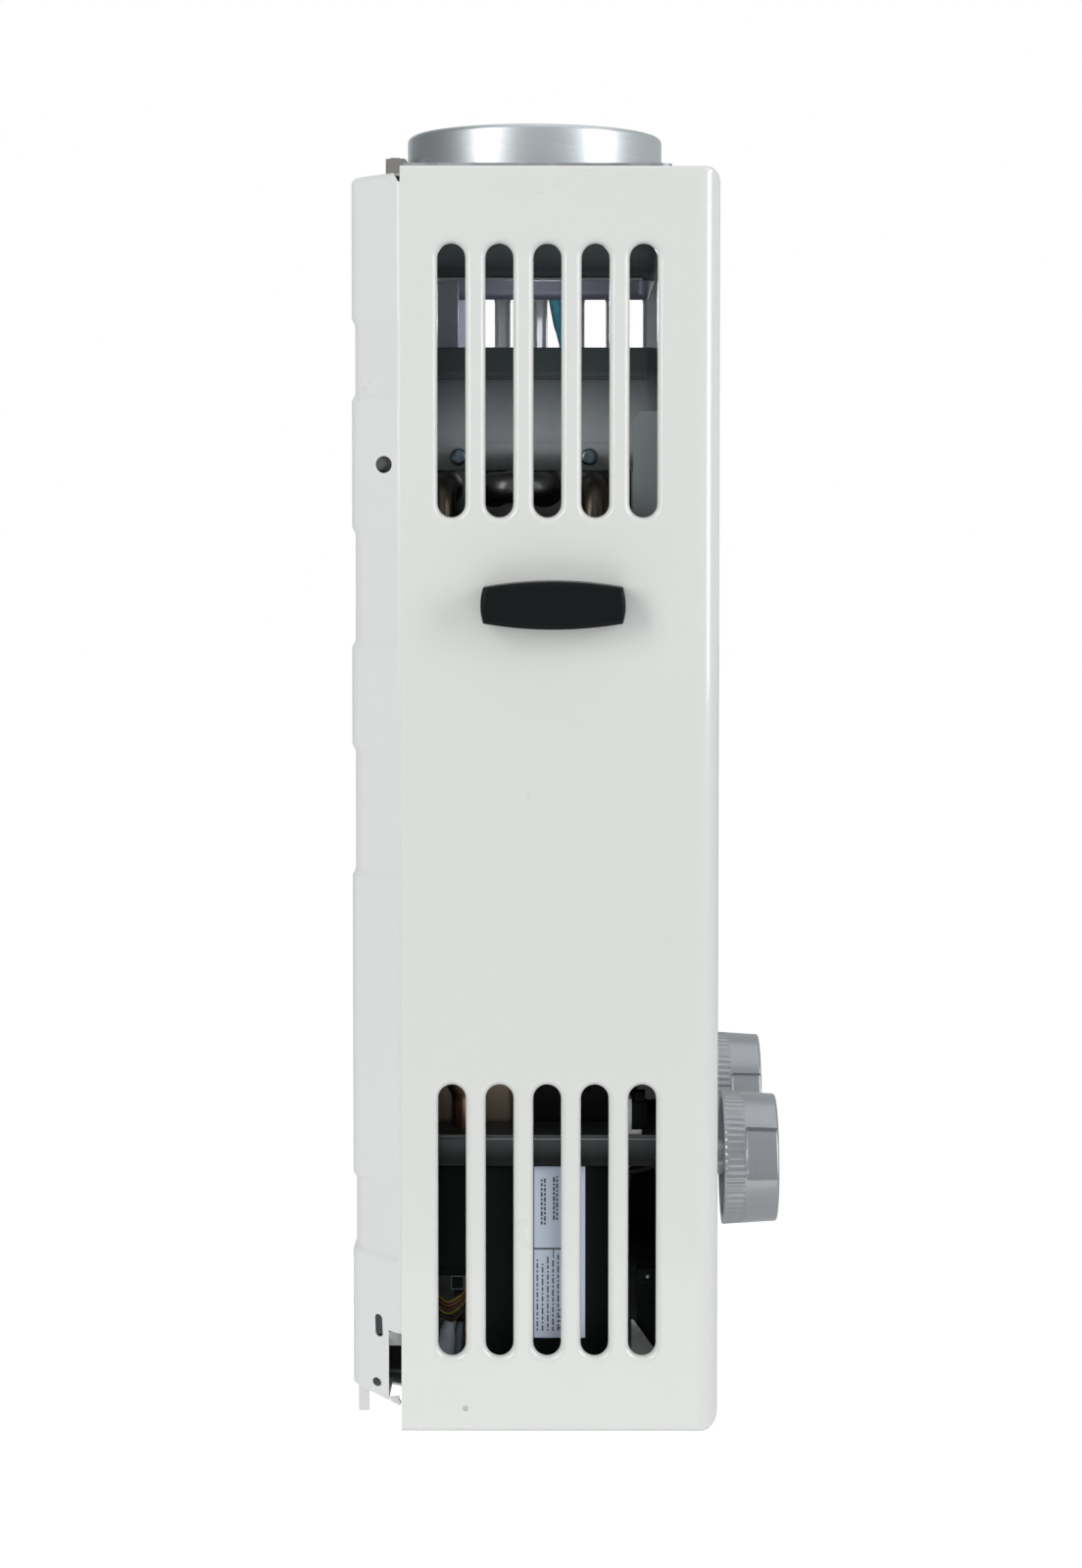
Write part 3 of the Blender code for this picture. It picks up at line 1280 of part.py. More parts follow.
def make_burner():
    """The bank of burner bars on their two rails, with a row of ports along each bar."""
    low = CHAMBER_LOW
    half = BURNER_HALF_WIDTH
    rack = block("burner_rack", (-half, BURNER_BACK, low),
                 (half, BURNER_BACK + BURNER_RAIL, low + BURNER_RAIL_HEIGHT), STEEL)
    fuse(rack, block("burner_front_rail", (-half, BURNER_FRONT - BURNER_RAIL, low),
                     (half, BURNER_FRONT, low + BURNER_RAIL_HEIGHT)))
    pitch = 2 * half / BURNER_BARS
    width = pitch * BURNER_BAR_SHARE
    front, back = BURNER_FRONT - BURNER_RAIL / 2, BURNER_BACK + BURNER_RAIL / 2
    for index in range(BURNER_BARS):
        middle = -half + pitch * (index + 1 / 2)
        fuse(rack, block("burner_bar_%02d" % index,
                         (middle - width / 2, back, low + BURNER_BAR_LOW),
                         (middle + width / 2, front, low + BURNER_BAR_HIGH),
                         edge=BURNER_BAR_EDGE))
    cut(rack, port_cutter(pitch, low + BURNER_BAR_HIGH))


def port_cutter(pitch, top):
    """One cutter with the long flame port in the top of every burner bar."""
    bm = bmesh.new()
    depth = BURNER_FRONT - BURNER_BACK - 4 * BURNER_RAIL
    for index in range(BURNER_BARS):
        middle = -BURNER_HALF_WIDTH + pitch * (index + 1 / 2)
        place = at(middle, (BURNER_FRONT + BURNER_BACK) / 2, top)
        size = Matrix.Diagonal((PORT_WIDTH, depth, 2 * PORT_DEPTH, 1))
        bmesh.ops.create_cube(bm, size=1, matrix=Matrix.Translation(place) @ size)
    return add("burner_ports", mesh_from(bm, "burner_ports"), None)


def make_gas_manifold():
    """The gas rail across the burner's front with one jet for each bar, and its feed pipe."""
    half = BURNER_HALF_WIDTH - PLATE
    rail = rod("gas_manifold", (-half, MANIFOLD_FORWARD, MANIFOLD_UP),
               (half, MANIFOLD_FORWARD, MANIFOLD_UP), MANIFOLD_RADIUS, CAST)
    pitch = 2 * BURNER_HALF_WIDTH / BURNER_BARS
    tip = MANIFOLD_FORWARD - MANIFOLD_RADIUS - JET_LENGTH
    for index in range(BURNER_BARS):
        x = -BURNER_HALF_WIDTH + pitch * (index + 1 / 2)
        fuse(rail, rod("gas_jet_%02d" % index, (x, MANIFOLD_FORWARD, MANIFOLD_UP),
                       (x, tip, MANIFOLD_UP), JET_RADIUS, sides=SMALL_ROUND_SIDES // 2,
                       end_radius=JET_TIP_RADIUS))
    rod("gas_feed_pipe", (-KNOB_X, MANIFOLD_FORWARD, GAS_ARM_TOP + GAP),
        (-KNOB_X, MANIFOLD_FORWARD, MANIFOLD_UP - MANIFOLD_RADIUS - GAP), PIPE_RADIUS, CAST)


def make_electrodes():
    """The spark electrode and the flame sensor through the chamber's front wall."""
    front = CHAMBER_FRONT + GAP
    profile = [(0, ELECTRODE_OUTER), (ELECTRODE_RADIUS, ELECTRODE_OUTER),
               (ELECTRODE_RADIUS, PLATE), (ELECTRODE_FLANGE_RADIUS, PLATE),
               (ELECTRODE_FLANGE_RADIUS, 0), (ELECTRODE_RADIUS, 0),
               (ELECTRODE_RADIUS, -ELECTRODE_INNER), (ELECTRODE_WIRE_RADIUS, -ELECTRODE_INNER),
               (ELECTRODE_WIRE_RADIUS, -(ELECTRODE_INNER + ELECTRODE_WIRE)),
               (0, -(ELECTRODE_INNER + ELECTRODE_WIRE))]
    for name, side in (("spark_electrode", -1), ("flame_sensor", 1)):
        turned(name, profile, (side * ELECTRODE_X, front, electrode_up()), (0, -1, 0), CERAMIC,
               SMALL_ROUND_SIDES)


def make_thermostats():
    """The overheat thermostat on the chamber and the flue thermostat on the hood."""
    for name, radius, height, place, way in (
        ("overheat_thermostat", THERMOSTAT_RADIUS, THERMOSTAT_HEIGHT,
         (THERMOSTAT_X, CHAMBER_FRONT + GAP, EXCHANGER_LOW - THERMOSTAT_DROP), (0, -1, 0)),
        ("flue_thermostat", SPILL_SENSOR_RADIUS, SPILL_SENSOR_HEIGHT,
         (HOOD_HALF_WIDTH + GAP, SPILL_SENSOR_FORWARD, HOOD_LOW + HOOD_SKIRT / 2), (1, 0, 0)),
    ):
        profile = [(0, height), (radius * 3 / 5, height), (radius * 3 / 5, height / 2),
                   (radius, height / 2), (radius, 0), (0, 0)]
        turned(name, profile, place, way, BLACK, SMALL_ROUND_SIDES)


def make_base_plate():
    """The base plate that carries the valves and unions, with a front foot for the cover."""
    middle = BASE_LOW + PLATE / 2
    foot = SHEET + GAP + PLATE / 2
    path = [(BACK_FLANGE, middle + BASE_REAR_FLANGE), (BACK_FLANGE, middle),
            (BASE_FRONT, middle), (BASE_FRONT, foot), (BASE_FRONT + BASE_FOOT, foot)]
    plate = folded("base_plate", path, SHELF_HALF_WIDTH, GALVANISED)
    hole = UNION_RADIUS + UNION_HOLE_CLEARANCE
    for name, x, forward in union_places():
        cut(plate, rod(name + "_hole", (x, forward, BASE_LOW - OVERRUN),
                       (x, forward, BASE_TOP + OVERRUN), hole))
    for side, label in ((-1, "left"), (1, "right")):
        cut(plate, rod("foot_hole_" + label, (side * COVER_SCREW_X, foot_middle(), 0),
                       (side * COVER_SCREW_X, foot_middle(), foot + OVERRUN),
                       SCREW_RADIUS + GAP, sides=SMALL_ROUND_SIDES))
    cut(
        plate,
        block("battery_notch", (BATTERY_LOW_X - OVERRUN, BATTERY_BACK - 2 * HINGE_OFFSET, 0),
              (COVER_HALF, COVER_DEPTH, BASE_TOP + OVERRUN)),
        *pan_corner_cutters("base_corner", 0, middle + BASE_REAR_FLANGE + OVERRUN),
    )


def union_places():
    """Each pipe union as (name, x, forward)."""
    return (("gas_union", -KNOB_X, VALVE_FORWARD), ("cold_union", KNOB_X, VALVE_FORWARD),
            ("hot_union", -HOT_UNION_X, HOT_LOWER_FORWARD))


def make_unions():
    """Brass unions through the base plate, each with its flange, backing nut and bore."""
    for name, x, forward in union_places():
        top = UNION_TOP
        bottom = -UNION_DROP
        union = rod(name, (x, forward, bottom), (x, forward, top - UNION_FLANGE / 2),
                    UNION_RADIUS, BRASS)
        nut_top = BASE_LOW - GAP
        fuse(
            union,
            rod(name + "_flange", (x, forward, BASE_TOP + GAP), (x, forward, top),
                UNION_FLANGE_RADIUS),
            rod(name + "_nut", (x, forward, nut_top - UNION_NUT_HEIGHT), (x, forward, nut_top),
                UNION_NUT_RADIUS, sides=6),
        )
        cut(union, rod(name + "_bore", (x, forward, bottom - OVERRUN),
                       (x, forward, top + OVERRUN), UNION_BORE))


def make_gas_valve():
    """The cast gas valve with its inlet column, spindle boss, outlet arm and rod guide."""
    x = -KNOB_X
    half = GAS_BODY_HALF_WIDTH
    valve = block("gas_valve_body", (x - half, GAS_BODY_BACK, GAS_BODY_LOW),
                  (x + half, GAS_BODY_FRONT, GAS_BODY_HIGH), CAST, CASTING_EDGE)
    arm_end = MANIFOLD_FORWARD + GAS_ARM_HALF_WIDTH
    guide_start = (x + half - CASTING_EDGE, VALVE_FORWARD, ROD_UP)
    fuse(
        valve,
        rod("gas_column", (x, VALVE_FORWARD, UNION_TOP + GAP),
            (x, VALVE_FORWARD, GAS_BODY_LOW + CASTING_EDGE), VALVE_COLUMN_RADIUS),
        rod("gas_boss", (x, GAS_BODY_FRONT - CASTING_EDGE, KNOB_UP), (x, BOSS_FRONT, KNOB_UP),
            VALVE_BOSS_RADIUS),
        block("gas_arm", (x - GAS_ARM_HALF_WIDTH, GAS_ARM_START,
                          GAS_ARM_TOP - GAS_ARM_THICKNESS),
              (x + GAS_ARM_HALF_WIDTH, arm_end, GAS_ARM_TOP)),
        rod("rod_guide", guide_start, (GUIDE_END, VALVE_FORWARD, ROD_UP), ROD_GUIDE_RADIUS),
    )
    bore_end = GUIDE_END - ROD_ENGAGE - 2 * ROD_TRAVEL
    cut(
        valve,
        rod("gas_spindle_bore", (x, BOSS_FRONT - SPINDLE_SINK - GAP, KNOB_UP),
            (x, BOSS_FRONT + OVERRUN, KNOB_UP), SPINDLE_RADIUS + GAP),
        rod("rod_bore", (bore_end, VALVE_FORWARD, ROD_UP),
            (GUIDE_END + OVERRUN, VALVE_FORWARD, ROD_UP), ROD_RADIUS + GAP),
    )


def make_solenoid():
    """The solenoid behind the gas valve."""
    back = GAS_BODY_BACK - GAP
    profile = [(0, SOLENOID_LENGTH), (SOLENOID_CAP_RADIUS, SOLENOID_LENGTH),
               (SOLENOID_CAP_RADIUS, SOLENOID_LENGTH - SOLENOID_CAP),
               (SOLENOID_RADIUS, SOLENOID_LENGTH - SOLENOID_CAP), (SOLENOID_RADIUS, 0), (0, 0)]
    up = (GAS_BODY_LOW + GAS_BODY_HIGH) / 2
    turned("solenoid_valve", profile, (-KNOB_X, back, up), (0, 1, 0), STEEL)


def make_water_valve():
    """The brass water valve with its diaphragm housing, inlet column and outlet boss."""
    x = KNOB_X
    half = WATER_BODY_HALF_WIDTH
    low = KNOB_UP - WATER_BODY_HEIGHT / 2
    high = KNOB_UP + WATER_BODY_HEIGHT / 2
    valve = block("water_valve_body", (x - half, WATER_BODY_BACK, low),
                  (x + half, WATER_BODY_FRONT, high), BRASS, CASTING_EDGE)
    fuse(
        valve,
        rod("diaphragm_housing", (DIAPHRAGM_X, VALVE_FORWARD, DIAPHRAGM_UP),
            (DIAPHRAGM_X + HOUSING_THICKNESS, VALVE_FORWARD, DIAPHRAGM_UP), DIAPHRAGM_RADIUS),
        rod("cold_column", (x, VALVE_FORWARD, UNION_TOP + GAP),
            (x, VALVE_FORWARD, low + CASTING_EDGE), VALVE_COLUMN_RADIUS),
        rod("water_boss", (x, WATER_BODY_FRONT - CASTING_EDGE, KNOB_UP), (x, BOSS_FRONT, KNOB_UP),
            VALVE_BOSS_RADIUS),
        rod("outlet_boss", (x, COLD_RISER_FORWARD, COLD_OUTLET_UP),
            (OUTLET_BOSS_X, COLD_RISER_FORWARD, COLD_OUTLET_UP), OUTLET_BOSS_RADIUS),
    )
    cut(valve, rod("water_spindle_bore", (x, BOSS_FRONT - SPINDLE_SINK - GAP, KNOB_UP),
                   (x, BOSS_FRONT + OVERRUN, KNOB_UP), SPINDLE_RADIUS + GAP))


def make_diaphragm_cover():
    """The diaphragm cover with its ring of screws and the hub that guides the push rod."""
    face = COVER_PLATE_X
    cover = rod("diaphragm_cover", (face, VALVE_FORWARD, DIAPHRAGM_UP),
                (DIAPHRAGM_X - GAP, VALVE_FORWARD, DIAPHRAGM_UP), DIAPHRAGM_RADIUS, CAST)
    fuse(cover, rod("cover_hub", (face - COVER_HUB, VALVE_FORWARD, DIAPHRAGM_UP),
                    (face + CASTING_EDGE, VALVE_FORWARD, DIAPHRAGM_UP), COVER_HUB_RADIUS))
    ring = DIAPHRAGM_RADIUS - COVER_SCREW_INSET
    for index in range(COVER_SCREWS):
        angle = math.tau * (index + 1 / 2) / COVER_SCREWS
        forward = VALVE_FORWARD + ring * math.cos(angle)
        up = DIAPHRAGM_UP + ring * math.sin(angle)
        fuse(cover, rod("cover_bolt_%d" % index, (face - SCREW_HEAD_HEIGHT, forward, up),
                        (face + CASTING_EDGE, forward, up), SCREW_HEAD_RADIUS, sides=6))
    cut(cover, rod("cover_bore", (face - COVER_HUB - OVERRUN, VALVE_FORWARD, DIAPHRAGM_UP),
                   (DIAPHRAGM_X + OVERRUN, VALVE_FORWARD, DIAPHRAGM_UP), ROD_RADIUS + GAP))


def rod_collar_x():
    """Where the push rod's collar starts, just right of the switch lever."""
    return lever_x() + LEVER_THICKNESS / 2 + GAP


def lever_x():
    """The middle of the switch lever's blade."""
    return GUIDE_END + ROD_TRAVEL + SWITCH_EAR_REACH - 2 * LEVER_PIN_RADIUS - LEVER_THICKNESS


def make_push_rod():
    """The rod that the diaphragm pushes to open the gas valve, with its switch collar."""
    start = GUIDE_END - ROD_ENGAGE
    end = DIAPHRAGM_X - COVER_THICKNESS / 3
    collar = rod_collar_x()
    profile = [(0, end - start), (ROD_RADIUS, end - start),
               (ROD_RADIUS, collar + ROD_COLLAR - start),
               (ROD_COLLAR_RADIUS, collar + ROD_COLLAR - start),
               (ROD_COLLAR_RADIUS, collar - start), (ROD_RADIUS, collar - start),
               (ROD_RADIUS, 0), (0, 0)]
    turned("push_rod", profile, (start, VALVE_FORWARD, ROD_UP), (1, 0, 0), STEEL,
           SMALL_ROUND_SIDES)


def lever_pin_up():
    """The height of the switch lever's pivot."""
    return ROD_UP + ROD_GUIDE_RADIUS + GAP + SWITCH_HEIGHT - LEVER_PIN_DROP


def make_microswitch():
    """The microswitch on the rod guide, with two ears for its lever's pin."""
    low = ROD_UP + ROD_GUIDE_RADIUS + GAP
    high = low + SWITCH_HEIGHT
    left = -KNOB_X + GAS_BODY_HALF_WIDTH + GAP
    right = GUIDE_END + ROD_TRAVEL
    half = SWITCH_WIDTH / 2
    switch = block("microswitch", (left, VALVE_FORWARD - half, low),
                   (right - ROD_TRAVEL, VALVE_FORWARD + half, high), BLACK)
    pin = lever_pin_up()
    tip = lever_x() + LEVER_PIN_DROP
    for side in (-1, 1):
        name = "switch_ear_rear" if side < 0 else "switch_ear_front"
        outer = VALVE_FORWARD + side * half
        fuse(switch, block(name, (right - 2 * ROD_TRAVEL, outer - side * SWITCH_EAR,
                                  pin - LEVER_PIN_DROP),
                           (tip, outer, high)))
    cut(switch, rod("lever_pin_hole", (lever_x(), VALVE_FORWARD - half - OVERRUN, pin),
                    (lever_x(), VALVE_FORWARD + half + OVERRUN, pin), LEVER_PIN_RADIUS + GAP,
                    sides=SMALL_ROUND_SIDES))


def make_switch_lever():
    """The lever that the push rod's collar swings against the microswitch."""
    pin = lever_pin_up()
    half = LEVER_WIDTH / 2
    low = ROD_UP + ROD_COLLAR_RADIUS - LEVER_OVERLAP
    x = lever_x()
    bm = bmesh.new()
    size = Matrix.Diagonal((LEVER_THICKNESS, 2 * half, pin - low, 1))
    middle = Matrix.Translation((0, 0, (low - pin) / 2))
    bmesh.ops.create_cube(bm, size=1, matrix=middle @ size)
    lever = add("switch_lever", mesh_from(bm, "switch_lever"), STEEL, at(x, VALVE_FORWARD, pin))
    reach = SWITCH_WIDTH / 2 - GAP
    fuse(lever, rod("lever_pin", (x, VALVE_FORWARD - reach, pin), (x, VALVE_FORWARD + reach, pin),
                    LEVER_PIN_RADIUS, sides=SMALL_ROUND_SIDES))


def make_drain_plug():
    """The drain plug in the front of the water valve's inlet column."""
    face = VALVE_FORWARD + VALVE_COLUMN_RADIUS + GAP
    profile = [(0, DRAIN_LENGTH), (DRAIN_HEAD_RADIUS, DRAIN_LENGTH),
               (DRAIN_HEAD_RADIUS, DRAIN_LENGTH / 2), (DRAIN_RADIUS, DRAIN_LENGTH / 2),
               (DRAIN_RADIUS, 0), (0, 0)]
    turned("drain_plug", profile, (KNOB_X, face, DRAIN_UP), (0, -1, 0), BRASS,
           SMALL_ROUND_SIDES)


def make_spindles():
    """The two valve spindles, with a shoulder inside the cover."""
    start = BOSS_FRONT - SPINDLE_SINK
    shoulder = BOSS_FRONT + 2 * GAP
    thick = SPINDLE_RADIUS + SPINDLE_HOLE_CLEARANCE / 2
    profile = [(0, SPINDLE_TIP - start), (SPINDLE_RADIUS, SPINDLE_TIP - start),
               (SPINDLE_RADIUS, COVER_DEPTH - start), (thick, COVER_DEPTH - start),
               (thick, shoulder - start), (SPINDLE_RADIUS, shoulder - start),
               (SPINDLE_RADIUS, 0), (0, 0)]
    for name, side in (("gas_spindle", -1), ("water_spindle", 1)):
        turned(name, profile, (side * KNOB_X, start, KNOB_UP), (0, -1, 0), STEEL,
               SMALL_ROUND_SIDES)


def knob_ring(radius, distance, ridge):
    """One ring of a knob about its axis, with alternate points drawn in by the ridge depth."""
    points = []
    count = 2 * KNOB_RIDGES
    for i in range(count):
        angle = math.tau * i / count
        reach = radius - ridge * (i % 2)
        points.append(Vector((reach * math.cos(angle), -distance, reach * math.sin(angle))))
    return points


def scoop_cutter(name, place, turn):
    """The cutter for a finger scoop: a sharp step above, running out to the rim below."""
    high = math.asin(SCOOP_HIGH / KNOB_RADIUS)
    low = -math.asin(SCOOP_LOW / KNOB_RADIUS)
    outline = []
    for step in range(SCOOP_STEPS + 1):
        share = step / SCOOP_STEPS
        angle = high + (low - high) * share
        reach = KNOB_RADIUS - SCOOP_DEPTH * (1 - share * share)
        outline.append((-reach * math.cos(angle), reach * math.sin(angle)))
    outside = KNOB_RADIUS + OVERRUN
    outline.append((-outside, -SCOOP_LOW - OVERRUN))
    outline.append((-outside - OVERRUN, SCOOP_HIGH))
    bm = bmesh.new()
    near = KNOB_LENGTH * (1 - SCOOP_SHARE)
    far = KNOB_LENGTH + OVERRUN
    solid_rings(bm, [[Vector((x, -distance, z)) for x, z in outline] for distance in (near, far)])
    bm.transform(Matrix.Rotation(turn, 4, "Y"))
    return add(name, mesh_from(bm, name), None, place)


def make_knobs():
    """The two knobs: ridged round the back, scooped at the sides, hollow behind, with a hub."""
    back = COVER_DEPTH + KNOB_STAND_OFF
    ridge_end = KNOB_LENGTH * KNOB_RIDGE_SHARE
    taper = KNOB_RADIUS - KNOB_FRONT_RADIUS
    shoulder = KNOB_LENGTH - KNOB_EDGE
    for name, side in (("gas_knob", -1), ("water_knob", 1)):
        x = side * KNOB_X
        bm = bmesh.new()
        rings = [knob_ring(KNOB_RADIUS, 0, KNOB_RIDGE),
                 knob_ring(KNOB_RADIUS, ridge_end, KNOB_RIDGE),
                 knob_ring(KNOB_RADIUS, ridge_end + KNOB_RIDGE, 0),
                 knob_ring(KNOB_RADIUS - taper, shoulder, 0)]
        for step in range(1, CORNER_STEPS + 1):
            angle = math.pi / 2 * step / CORNER_STEPS
            rings.append(knob_ring(KNOB_FRONT_RADIUS - KNOB_EDGE * (1 - math.cos(angle)),
                                   shoulder + (KNOB_EDGE - KNOB_DOME) * math.sin(angle), 0))
        rings.append(knob_ring(KNOB_FRONT_RADIUS / 2, KNOB_LENGTH, 0))
        solid_rings(bm, rings)
        place = at(x, back, KNOB_UP)
        knob = add(name, mesh_from(bm, name), SATIN, place)
        pocket_end = back + KNOB_LENGTH - KNOB_FACE
        hub_back = COVER_DEPTH + KNOB_HUB_GAP
        cut(
            knob,
            scoop_cutter(name + "_scoop_left", place, 0),
            scoop_cutter(name + "_scoop_right", place, math.pi),
            rod(name + "_pocket", (x, back - OVERRUN, KNOB_UP), (x, pocket_end, KNOB_UP),
                KNOB_FRONT_RADIUS - KNOB_WALL),
        )
        fuse(knob, rod(name + "_hub", (x, hub_back, KNOB_UP),
                       (x, pocket_end + KNOB_DOME, KNOB_UP), KNOB_HUB_RADIUS))
        cut(knob, rod(name + "_bore", (x, hub_back - OVERRUN, KNOB_UP),
                      (x, SPINDLE_TIP + GAP, KNOB_UP), SPINDLE_RADIUS + GAP))


def make_control_box():
    """The ignition control box that stands on the base plate by the left side."""
    block("control_box", (BOX_LOW_X, BOX_BACK, BASE_TOP + GAP),
          (BOX_HIGH_X, BOX_FRONT, BOX_TOP), BLACK, BOX_EDGE)


def make_battery_box():
    """The battery box in the base plate's notch, open below, with ears for its lid."""
    box = block("battery_box", (BATTERY_LOW_X, BATTERY_BACK, BATTERY_BOTTOM),
                (BATTERY_HIGH_X, BATTERY_FRONT, BATTERY_TOP), BLACK)
    flange_low = BASE_TOP + GAP
    fuse(box, block("battery_flange",
                    (BATTERY_LOW_X - OVERRUN - BATTERY_FLANGE,
                     BATTERY_BACK - 2 * HINGE_OFFSET - BATTERY_FLANGE, flange_low),
                    (BATTERY_HIGH_X, BATTERY_FRONT - BATTERY_WALL, flange_low + BATTERY_WALL)))
    pin_ears = []
    for x in (BATTERY_LOW_X + EAR_INSET, BATTERY_HIGH_X - EAR_INSET - EAR_THICKNESS):
        side = "right" if pin_ears else "left"
        pin_ears.append(block("lid_ear_" + side,
                              (x, LID_AXIS_FORWARD - EAR_MARGIN - LID_PIN_RADIUS, LID_AXIS_UP),
                              (x + EAR_THICKNESS, BATTERY_BACK + BATTERY_WALL / 2,
                               BATTERY_BOTTOM + 2 * EAR_THICKNESS)))
        pin_ears.append(rod("lid_eye_" + side, (x, LID_AXIS_FORWARD, LID_AXIS_UP),
                            (x + EAR_THICKNESS, LID_AXIS_FORWARD, LID_AXIS_UP),
                            EAR_MARGIN + LID_PIN_RADIUS))
    fuse(box, *pin_ears)
    wall = BATTERY_WALL
    cut(
        box,
        block("battery_space", (BATTERY_LOW_X + wall, BATTERY_BACK + wall,
                                BATTERY_BOTTOM - OVERRUN),
              (BATTERY_HIGH_X - wall, BATTERY_FRONT - wall, BATTERY_TOP - wall)),
        block("lid_sweep", (BATTERY_LOW_X - GAP, BATTERY_BACK - GAP,
                            LID_AXIS_UP - EAR_MARGIN - LID_PIN_RADIUS - OVERRUN),
              (BATTERY_HIGH_X + GAP, BATTERY_FRONT + GAP, BATTERY_BOTTOM)),
        rod("lid_pin_hole", (BATTERY_LOW_X, LID_AXIS_FORWARD, LID_AXIS_UP),
            (BATTERY_HIGH_X, LID_AXIS_FORWARD, LID_AXIS_UP), LID_PIN_RADIUS + GAP,
            sides=SMALL_ROUND_SIDES),
    )


def make_battery_lid():
    """The lid under the battery box, on its hinge barrel with a pin at each end."""
    top = BATTERY_BOTTOM - GAP
    ears_inner = BATTERY_LOW_X + EAR_INSET + EAR_THICKNESS + GAP
    ears_inner_end = BATTERY_HIGH_X - EAR_INSET - EAR_THICKNESS - GAP
    bm = bmesh.new()
    length = ears_inner_end - ears_inner
    turn = Matrix.Rotation(math.pi / 2, 4, "Y")
    bmesh.ops.create_cone(bm, cap_ends=True, segments=SMALL_ROUND_SIDES,
                          radius1=LID_BARREL_RADIUS, radius2=LID_BARREL_RADIUS, depth=length,
                          matrix=turn)
    middle = (BATTERY_LOW_X + BATTERY_HIGH_X) / 2
    lid = add("battery_lid", mesh_from(bm, "battery_lid"), BLACK,
              at(middle, LID_AXIS_FORWARD, LID_AXIS_UP))
    pin_reach = length / 2 + LID_PIN_REACH - EAR_MARGIN
    fuse(
        lid,
        block("lid_plate", (BATTERY_LOW_X + GAP, BATTERY_BACK + GAP, top - LID_THICKNESS),
              (BATTERY_HIGH_X - GAP, BATTERY_FRONT, top)),
        block("lid_tongue", (ears_inner, LID_AXIS_FORWARD, top - LID_THICKNESS),
              (ears_inner_end, BATTERY_BACK + HINGE_OFFSET,
               top - LID_THICKNESS / 4)),
        rod("lid_pins", (middle - pin_reach, LID_AXIS_FORWARD, LID_AXIS_UP),
            (middle + pin_reach, LID_AXIS_FORWARD, LID_AXIS_UP), LID_PIN_RADIUS,
            sides=SMALL_ROUND_SIDES),
    )


def make_battery_cells():
    """Two cells side by side in the battery box."""
    low = BATTERY_BOTTOM + GAP
    middle = (BATTERY_LOW_X + BATTERY_HIGH_X) / 2
    spacing = (BATTERY_HIGH_X - BATTERY_LOW_X - 2 * BATTERY_WALL) / 4
    profile = [(0, CELL_LENGTH + CELL_NUB), (CELL_NUB_RADIUS, CELL_LENGTH + CELL_NUB),
               (CELL_NUB_RADIUS, CELL_LENGTH), (CELL_RADIUS - CELL_NUB, CELL_LENGTH),
               (CELL_RADIUS, CELL_LENGTH - CELL_NUB), (CELL_RADIUS, 0), (0, 0)]
    for name, side in (("battery_cell_left", -1), ("battery_cell_right", 1)):
        turned(name, profile,
               (middle + side * spacing, (BATTERY_BACK + BATTERY_FRONT) / 2, low), (0, 0, 1),
               CELL_WRAP)


def handle_outline():
    """The handle's barrel outline as (forward, up) offsets from its middle."""
    half = HANDLE_LENGTH / 2
    end = HANDLE_END_HEIGHT / 2
    bow = HANDLE_HEIGHT / 2 - end
    shares = [2 * step / HANDLE_STEPS - 1 for step in range(HANDLE_STEPS + 1)]
    top = [(half * share, end + bow * (1 - share * share)) for share in shares]
    return top + [(forward, -up) for forward, up in reversed(top)]


def make_side_handle(name, side):
    """A hooded cup pull on one side wall, open underneath, held by two clips."""
    face = side * (COVER_HALF + GAP)
    outer = side * (COVER_HALF + GAP + HANDLE_DEPTH)
    bm = bmesh.new()
    rings = [[at(x, HANDLE_FORWARD + f, HANDLE_UP + up) for f, up in handle_outline()]
             for x in (face, outer)]
    solid_rings(bm, rings)
    handle = add(name, mesh_from(bm, name), BLACK)
    round_over = handle.modifiers.new("round_edges", "BEVEL")
    round_over.width = HANDLE_EDGE
    round_over.segments = 2
    round_over.limit_method = "VGROUP"
    group = handle.vertex_groups.new(name="outer_edge")
    group.add([v.index for v in handle.data.vertices if abs(v.co.x - outer) < GAP / 2], 1, "ADD")
    round_over.vertex_group = group.name
    for end in (-1, 1):
        middle = HANDLE_FORWARD + end * CLIP_SPACING / 2
        label = name + ("_clip_rear" if end < 0 else "_clip_front")
        inside = side * (COVER_INNER_X - GAP - CLIP_BARB)
        half_height = CLIP_THICKNESS / 2
        fuse(handle, block(label, (face + side * HANDLE_BACK / 2, middle - CLIP_WIDTH / 2,
                                   HANDLE_UP - half_height),
                           (inside, middle + CLIP_WIDTH / 2, HANDLE_UP + half_height)))
        fuse(handle, block(label + "_barb", (side * (COVER_INNER_X - GAP), middle - CLIP_WIDTH / 2,
                                             HANDLE_UP - half_height),
                           (inside, middle + CLIP_WIDTH / 2,
                            HANDLE_UP + half_height + CLIP_BARB)))
    half = HANDLE_LENGTH / 2 - 2 * HANDLE_WALL
    cut(handle, block(name + "_cup",
                      (face + side * HANDLE_BACK, HANDLE_FORWARD - half,
                       HANDLE_UP - HANDLE_HEIGHT),
                      (outer - side * HANDLE_WALL, HANDLE_FORWARD + half,
                       HANDLE_UP + HANDLE_END_HEIGHT / 2 - HANDLE_WALL)))


